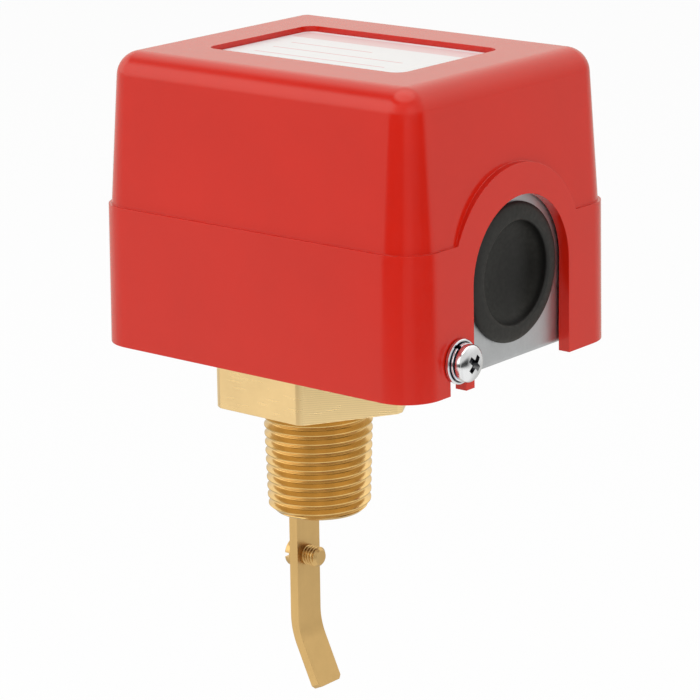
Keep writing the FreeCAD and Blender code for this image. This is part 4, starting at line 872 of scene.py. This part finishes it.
def nut(flats, height, hole):
    """A hexagon nut with bevelled corners."""
    corner = flats / math.sqrt(3)
    wide, narrow, bevel = corner * 1.02, corner * 0.93, corner * 0.07
    bevelled = lathe("cone", [(0, 0), (narrow, 0), (wide, bevel), (wide, height - bevel),
                              (narrow, height), (0, height)], 48)

    def edit(bm):
        bmesh.ops.create_cone(bm, segments=6, radius1=corner, radius2=corner, depth=height, cap_ends=True)
        bmesh.ops.translate(bm, verts=bm.verts, vec=(0, 0, height / 2))
    body = joined(mesh_from("hexagon", edit), bevelled, "INTERSECT")
    through = [(0, -height), (hole, -height), (hole, height * 2), (0, height * 2)]
    return joined(body, lathe("hole", through, 32))


def solids(node):
    """The separate solids of a CAD node as (lowest, highest) boxes, in order along X, then Y and Z."""
    boxes = []
    with editing(welded(node)) as bm:
        left = set(bm.verts)
        while left:
            seen, front = set(), [next(iter(left))]
            while front:
                vertex = front.pop()
                if vertex not in seen:
                    seen.add(vertex)
                    front += [e.other_vert(vertex) for e in vertex.link_edges]
            left -= seen
            spots = [v.co for v in seen]
            boxes.append(tuple(Vector([pick(s[i] for s in spots) for i in range(3)]) for pick in (min, max)))
    return sorted(boxes, key=lambda b: tuple(round(c, 5) for c in (b[0] + b[1])))


# ---------------------------------------------------------------- operators

class SWITCH_OT_stage(bpy.types.Operator):
    """Sets up the camera, the pale floor and the soft lights"""
    bl_idname = "switch.stage"
    bl_label = "Stage"

    def execute(self, context):
        studio = settings()[2]
        a, e = studio.azimuth, studio.elevation
        back = Vector((math.sin(a) * math.cos(e), -math.cos(a) * math.cos(e), math.sin(e)))
        right = Vector((math.cos(a), math.sin(a), 0))
        up = back.cross(right)
        c, s = math.cos(studio.roll), math.sin(studio.roll)
        axes = Matrix((right * c + up * s, up * c - right * s, back)).transposed()
        data = bpy.data.cameras.new("camera")
        data.lens, data.sensor_width = studio.focal, 36
        data.clip_start, data.clip_end = 0.01, 20
        camera = working("camera", data)
        camera.matrix_world = Matrix.Translation(Vector(studio.camera)) @ axes.to_4x4()
        context.scene.camera = camera
        self.floor(context, studio)
        self.lights(context, studio)
        context.scene.view_settings.view_transform = "Standard"
        return {"FINISHED"}

    def floor(self, context, studio):
        level = CAD_BOX[0][2] - studio.floor_drop

        def edit(bm):
            bmesh.ops.create_grid(bm, x_segments=8, y_segments=8, size=3)
            bmesh.ops.translate(bm, verts=bm.verts, vec=(0, 0, level))
        floor = working("floor", mesh_from("floor", edit))
        made = Finish("pale floor", (0.93, 0.93, 0.93), 0.9)
        walls = made.group("Studio walls", walls_group)
        spot = add(made.tree, "ShaderNodeTexCoord").outputs["Object"]
        feed(made.tree, walls.inputs["Direction"], spot)
        reach = add(made.tree, "ShaderNodeVectorMath", spot, operation="LENGTH").outputs["Value"]
        feed(made.tree, walls.inputs["Nearness"], Field(made.tree, reach).ramp(0.36, 0.50).rest())
        direct, bounced, tint = seen_rays(made.tree, Field(made.tree, walls.outputs["Level"]))
        shine = add(made.tree, "ShaderNodeEmission", tint, direct + bounced)
        blend = add(made.tree, "ShaderNodeMixShader", direct * studio.floor_white + bounced.more(0.0),
                    made.shader.outputs[0], shine.outputs[0])
        out = next(n for n in made.tree.nodes if n.type == "OUTPUT_MATERIAL")
        made.tree.links.new(blend.outputs[0], out.inputs["Surface"])
        floor.data.materials.append(made.material)

    def lights(self, context, studio):
        world = bpy.data.worlds.new("studio")
        world.use_nodes = True
        tree = world.node_tree
        tree.nodes.clear()
        walls = tree.nodes.new("ShaderNodeGroup")
        walls.node_tree = tree_named("Studio walls", walls_group)
        tree.links.new(add(tree, "ShaderNodeTexCoord").outputs["Generated"], walls.inputs["Direction"])
        direct, bounced, tint = seen_rays(tree, Field(tree, walls.outputs["Level"]))
        plain = (direct + bounced).more(0.0).rest()
        strength = direct + bounced + plain * studio.ambient
        light = add(tree, "ShaderNodeBackground", tint, strength)
        tree.links.new(light.outputs[0], add(tree, "ShaderNodeOutputWorld").inputs["Surface"])
        context.scene.world = world
        for name, place, size, power in (("key", (-0.55, -0.75, 0.55), 0.7, studio.key),
                                         ("fill", (0.88, -0.42, 0.32), 0.7, studio.fill),
                                         ("top", (0.0, 0.0, 0.95), 0.8, studio.top)):
            data = bpy.data.lights.new(name, "AREA")
            data.energy, data.size = power, size
            lamp = working(name, data)
            lamp.visible_glossy = False
            aim = (Vector((0, 0, 0.01)) - Vector(place)).to_track_quat("-Z", "Y")
            lamp.matrix_world = Matrix.Translation(place) @ aim.to_matrix().to_4x4()


class SWITCH_OT_cover(bpy.types.Operator):
    """Makes the moulded cover and its name label"""
    bl_idname = "switch.cover"
    bl_label = "Cover"

    def execute(self, context):
        sizes = settings()[1]
        shell = softened(welded("cover"), sizes.cover_edge, 5, share=self.share)
        finish_piece("cover_shell", shell, "red plastic", ["cover"])
        edged("label_film", "name_label", FINE_EDGE, "printed label")
        return {"FINISHED"}

    def share(self, edge):
        """The arch's edge gets all of the rounding where the arch stands proud enough, others less."""
        sizes = settings()[1]
        middle = (edge.verts[0].co + edge.verts[1].co) / 2
        proud = sizes.skirt_step + max(0.0, middle.z - sizes.skirt_top) * math.tan(sizes.hood_draft)
        reach = math.hypot(middle.y, max(0.0, middle.z - sizes.arch_middle))
        if middle.x > sizes.cover_front and abs(reach - sizes.arch_radius) < 0.5 * MM:
            return min(1.0, proud * (0.5 if edge.is_convex else 0.35) / sizes.cover_edge)
        if abs(middle.z - sizes.skirt_top) < 0.9 * MM:
            return sizes.skirt_step * 0.48 / sizes.cover_edge
        return sizes.cover_plain if edge.is_convex else sizes.cover_inner


class SWITCH_OT_pipe_body(bpy.types.Operator):
    """Makes the brass hexagon and its tapered pipe thread"""
    bl_idname = "switch.pipe_body"
    bl_label = "Pipe body"

    def execute(self, context):
        sizes = settings()[1]
        basic = MOUNTS["pipe_thread"]["dims"]["r_mm"] * MM
        low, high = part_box("brass_body")
        top = basic + (-low.z - sizes.pipe_gauge) * sizes.pipe_taper
        below = lathe("below", [(0, low.z - MM), (top * 1.05, low.z - MM), (top * 1.05, 0), (0, 0)], 96)
        hexagon = self.chamfered(joined(welded("brass_body"), below), sizes)
        finish_piece("hexagon", softened(hexagon, sizes.sheet_edge, 2, 20), "milled brass", ["brass_body"])
        thread = threaded(top, sizes.pipe_pitch, sizes.pipe_depth, -low.z, sizes.water_bore,
                          sizes.pipe_taper, 1.0 * MM, 0.10, 128)
        finish_piece("pipe_thread", thread, "turned brass", ["brass_body"], replaces=False, angle=40)
        return {"FINISHED"}

    def chamfered(self, mesh, sizes):
        """The hexagon with flats on its upright edges."""
        with editing(mesh) as bm:
            bmesh.ops.dissolve_limit(bm, angle_limit=FLAT, verts=bm.verts, edges=bm.edges)
            upright = [e for e in bm.edges if len(e.link_faces) == 2 and e.is_convex
                       and abs((e.verts[0].co - e.verts[1].co).normalized().z) > 0.99
                       and math.hypot(*(e.verts[0].co + e.verts[1].co).xy) > 2 * sizes.hexagon_reach
                       and e.calc_face_angle(0) > math.radians(40) and e.verts[0].co.x > 0]
            offset = sizes.hexagon_chamfer / 2 / math.cos(math.radians(30))
            bmesh.ops.bevel(bm, geom=upright, offset=offset, segments=1, affect="EDGES", profile=0.5)
        return mesh


class SWITCH_OT_paddle(bpy.types.Operator):
    """Makes the bent arm, its stem and rivets, and the screw that clamps a paddle"""
    bl_idname = "switch.paddle"
    bl_label = "Paddle arm"

    def execute(self, context):
        sizes = settings()[1]
        for node in ("paddle_arm", "paddle_stem", "arm_rivets"):
            edged(node + "_bar", node, sizes.sheet_edge, "drawn brass")
        low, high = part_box("paddle_screw")
        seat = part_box("paddle_arm")[0].x
        radius = (high.z - low.z) / 2
        pattern = screw(2.1 * MM, high.x - seat, radius, seat - low.x, sizes.m4_pitch, "slot", flat_head=True)
        spot = (Vector((seat, 0, (low.z + high.z) / 2)), -AHEAD, math.radians(90))
        clamp = copies(pattern, [spot], "drawn brass")
        finish_piece("clamp_screw", clamp, "drawn brass", ["paddle_screw"])
        return {"FINISHED"}


class SWITCH_OT_sheet_parts(bpy.types.Operator):
    """Makes the bent sheet parts, the pivot and the lever"""
    bl_idname = "switch.sheet_parts"
    bl_label = "Sheet parts"

    def execute(self, context):
        sizes = settings()[1]
        for node in ("chassis", "pivot_bracket", "switch_bracket", "switch_lever"):
            edged(node + "_sheet", node, sizes.sheet_edge, "sheet steel")
        for node in ("lever_rod", "pivot_pin", "pin_clips"):
            edged(node + "_steel", node, FINE_EDGE, "bright steel")
        return {"FINISHED"}


class SWITCH_OT_seals(bpy.types.Operator):
    """Makes the cable grommet, the gasket and the bellows"""
    bl_idname = "switch.seals"
    bl_label = "Seals"

    def execute(self, context):
        finish_piece("grommet_rubber", self.grommet(), "black rubber", ["cable_grommet"], angle=60)
        edged("gasket_rubber", "body_gasket", settings()[1].sheet_edge, "black rubber")
        folds = finish_piece("bellows_folds", welded("bellows"), "bronze", ["bellows"], rides=False)
        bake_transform(folds)
        return {"FINISHED"}

    def grommet(self):
        """A rounded rim before the sheet, a lip behind it and a smoothly dished blind membrane, whose dish faces
        turned towards -Y are marked for painted shadow.
        """
        sizes = settings()[1]
        low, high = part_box("cable_grommet")
        outer, deep = (high.z - low.z) / 2, low.x - high.x
        rim, sheet, dish = sizes.grommet_rim, sizes.sheet, sizes.grommet_dish
        waist, lip, edge = outer - 2.4 * MM, outer - MM, outer - 0.05 * MM
        crest, proud = dish + 0.55 * MM, 0.3 * MM
        back = [(0, deep), (waist - 0.5 * MM, deep), (waist - 0.2 * MM, deep * 0.63),
                (lip - 0.4 * MM, deep * 0.63), (lip, -rim - sheet), (waist, -rim - sheet),
                (waist, -rim), (edge, -rim), (edge, -rim * 0.75)]
        steps = 22
        turns = [math.pi / 2 * k / steps for k in range(steps + 1)]
        crown = [(crest + (edge - crest) * max(0.0, math.cos(t)) ** 0.85,
                  -rim * 0.75 + (rim * 0.75 + proud) * math.sin(t) ** 0.85) for t in turns[1:]]
        inside = [(crest - (crest - dish) * math.sin(t), proud - (crest - dish) * (1 - math.cos(t)))
                  for t in turns[2::4]]
        hollow = [(dish * math.cos(t), deep * (0.03 + 0.69 * math.sin(t) ** 0.75)) for t in turns[1:]]
        mesh = lathe("grommet", rounded(back, 0.2 * MM) + crown + inside + hollow, 96)
        middle = Vector((high.x, (low.y + high.y) / 2, (low.z + high.z) / 2))
        mesh.transform(pose_matrix(middle, AHEAD))

        # Painted shadow: dish faces turned towards -Y are marked, and the rubber paints them black.
        def shadowed_dish_side(spot, normal):
            inside = math.hypot(spot.y - middle.y, spot.z - middle.z) < dish
            return max(0.0, min(1.0, (-normal.y - 0.2) / 0.3)) if inside else 0.0
        return marked(mesh, shadowed_dish_side)


class SWITCH_OT_range_spring(bpy.types.Operator):
    """Makes the range spring, its seat and its adjusting screw"""
    bl_idname = "switch.range_spring"
    bl_label = "Range spring"

    def execute(self, context):
        sizes = settings()[1]
        self.coil(sizes, "bright steel")
        edged("snap_ring", "range_screw_ring", FINE_EDGE, "bright steel")
        edged("seat_nut", "spring_seat", sizes.sheet_edge, "drawn brass")
        edged("adjusting_screw", "range_screw", sizes.sheet_edge, "bright zinc")
        return {"FINISHED"}

    def coil(self, sizes, material):
        """The spring in two halves, cut at the height where they meet."""
        low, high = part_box("range_spring")
        middle = (low + high) / 2
        blank = working("coil", bpy.data.meshes.new("coil"))
        whole = apply_tree(blank, tree_named("Coil", coil_tree), {
            "Radius": sizes.coil_radius, "Wire": sizes.wire, "Height": high.z - low.z - 2 * sizes.wire,
            "Turns": sizes.coil_turns, "Material": finish(material)})
        whole.transform(Matrix.Translation((middle.x, middle.y, low.z + sizes.wire)))
        anchor = (middle.x, middle.y, sizes.coil_middle)
        swing = JOINTS["paddle_swing"]["range_deg"][1]
        reach = middle.x + sizes.coil_radius + sizes.wire - PIVOT.x
        rise = reach * math.sin(math.radians(swing)) + 0.1 * MM
        travel = JOINTS["spring_seat_travel"]["range_m"][1]
        lower_loss, upper_loss = rise / (anchor[2] - low.z), travel / (high.z - anchor[2])
        for name, upper, joint, loss in (("spring_lower", False, "paddle_swing", lower_loss),
                                         ("spring_upper", True, "spring_seat_travel", upper_loss)):
            def edit(bm):
                bm.from_mesh(whole)
                cut = bmesh.ops.bisect_plane(
                    bm, geom=bm.verts[:] + bm.edges[:] + bm.faces[:], plane_co=anchor, plane_no=UP,
                    clear_inner=upper, clear_outer=not upper)["geom_cut"]
                bmesh.ops.holes_fill(bm, edges=[e for e in cut if isinstance(e, bmesh.types.BMEdge)])
            half = finish_piece(name, mesh_from(name, edit), material, ["range_spring"])
            1 - loss
            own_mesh(half)
            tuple(UP)


class SWITCH_OT_snap_switch(bpy.types.Operator):
    """Makes the snap-action switch"""
    bl_idname = "switch.snap_switch"
    bl_label = "Snap switch"

    def execute(self, context):
        sizes = settings()[1]
        for node in ("switch_case", "switch_lid"):
            edged(node + "_half", node, sizes.sheet_edge, "switch case")
        edged("plunger_tip", "switch_plunger", sizes.sheet_edge, "switch plunger")
        edged("terminal_tabs", "switch_terminals", FINE_EDGE, "drawn brass")
        return {"FINISHED"}


def outward(low, high):
    return AHEAD if (low + high).x > 0 else -AHEAD


def upward(low, high):
    return UP


def to_front(low, high):
    return -ACROSS


class SWITCH_OT_fasteners(bpy.types.Operator):
    """Makes every screw, washer and nut outside the paddle arm"""
    bl_idname = "switch.fasteners"
    bl_label = "Fasteners"

    def execute(self, context):
        for node, outside, turns in (
                ("cover_screws", outward, (0.3, 0.85)), ("body_screws", upward, (0.2, 1.1, 0.7, 1.5)),
                ("earth_screw", upward, (0.5,)), ("bracket_screws", upward, (0.9, 0.3)),
                ("terminal_screws", upward, (0.1, 0.8, 1.3)), ("switch_screws", to_front, (0.6, 1.2))):
            self.screws(node, outside, turns)
        self.rings("cover_washers", cupped_washer, outward, (0.0, 0.0), "bright zinc")
        self.rings("cover_spring_washers", split_washer, outward, (0.4, 3.6), "bright zinc")
        self.rings("earth_washer", cupped_washer, upward, (0.0,), "drawn brass")
        self.nuts("switch_nuts", ACROSS, hole=2.0 * MM)
        self.nuts("rod_nut", UP, hole=2.5 * MM)
        return {"FINISHED"}

    def seat_of(self, node, outside, turns, inset):
        """(place, axis, turn) of every solid of a node; the place is that far inside its outer end."""
        spots = []
        for (low, high), turn in zip(solids(node), turns):
            axis = outside(low, high)
            middle, half = (low + high) / 2, (high - low) / 2
            spots.append((middle + axis * (abs(half.dot(axis)) - inset), axis, turn))
        return spots

    def place_all(self, node, pattern, spots, material):
        finish_piece(node + "_set", copies(pattern, spots, material), material, [node])

    def screws(self, node, outside, turns):
        sizes = settings()[1]
        low, high = solids(node)[0]
        axis = outside(low, high)
        span = abs((high - low).dot(axis))
        size = sorted(high - low)
        head_radius = size[0] / 2 if size[2] > size[1] * 1.05 else size[2] / 2
        small = head_radius < 2 * M3_RADIUS
        head, pitch, radius = ((sizes.m3_head, sizes.m3_pitch, M3_RADIUS) if small
                               else (sizes.m4_head, sizes.m4_pitch, M4_RADIUS))
        pattern = screw(radius, span - head, head_radius, head, pitch)
        self.place_all(node, pattern, self.seat_of(node, outside, turns, head), "bright zinc")

    def rings(self, node, make, outside, turns, material):
        low, high = solids(node)[0]
        axis = outside(low, high)
        thickness = abs((high - low).dot(axis))
        pattern = make(max(high - low) / 2, M4_HOLE, thickness)
        self.place_all(node, pattern, self.seat_of(node, outside, turns, thickness), material)

    def nuts(self, node, axis, hole):
        spots = []
        for low, high in solids(node):
            size = high - low
            height = abs(size.dot(axis))
            flats = sorted(size)[1] if height < sorted(size)[1] else sorted(size)[0]
            spots.append(((low + high) / 2 - axis * height / 2, axis, 0.0))
        self.place_all(node, nut(flats, height, hole), spots, "bright zinc")


class SWITCH_PT_panel(bpy.types.Panel):
    """Shows the flow switch's settings and the buttons that make its pieces"""
    bl_label = "Flow Switch"
    bl_idname = "SWITCH_PT_panel"
    bl_space_type = "VIEW_3D"
    bl_region_type = "UI"
    bl_category = "Flow Switch"

    def draw(self, context):
        for group in settings():
            box = self.layout.box()
            for name in group.bl_rna.properties.keys():
                if name not in ("name", "rna_type"):
                    box.prop(group, name)
        for operator in OPERATORS:
            self.layout.operator(operator.bl_idname)


GROUPS = {"switch_colours": SwitchColours, "switch_sizes": SwitchSizes, "switch_studio": SwitchStudio}
OPERATORS = (SWITCH_OT_stage, SWITCH_OT_cover, SWITCH_OT_pipe_body, SWITCH_OT_paddle, SWITCH_OT_sheet_parts,
             SWITCH_OT_seals, SWITCH_OT_range_spring, SWITCH_OT_snap_switch, SWITCH_OT_fasteners)
CLASSES = (*GROUPS.values(), *OPERATORS, SWITCH_PT_panel)


def register():
    for made in CLASSES:
        bpy.utils.register_class(made)
    for name, group in GROUPS.items():
        setattr(bpy.types.Scene, name, PointerProperty(type=group))


def unregister():
    for name in GROUPS:
        delattr(bpy.types.Scene, name)
    for made in reversed(CLASSES):
        bpy.utils.unregister_class(made)


def main():
    register()
    for operator in OPERATORS:
        group, name = operator.bl_idname.split(".")
        getattr(getattr(bpy.ops, group), name)()


if __name__ == "__main__":
    main()
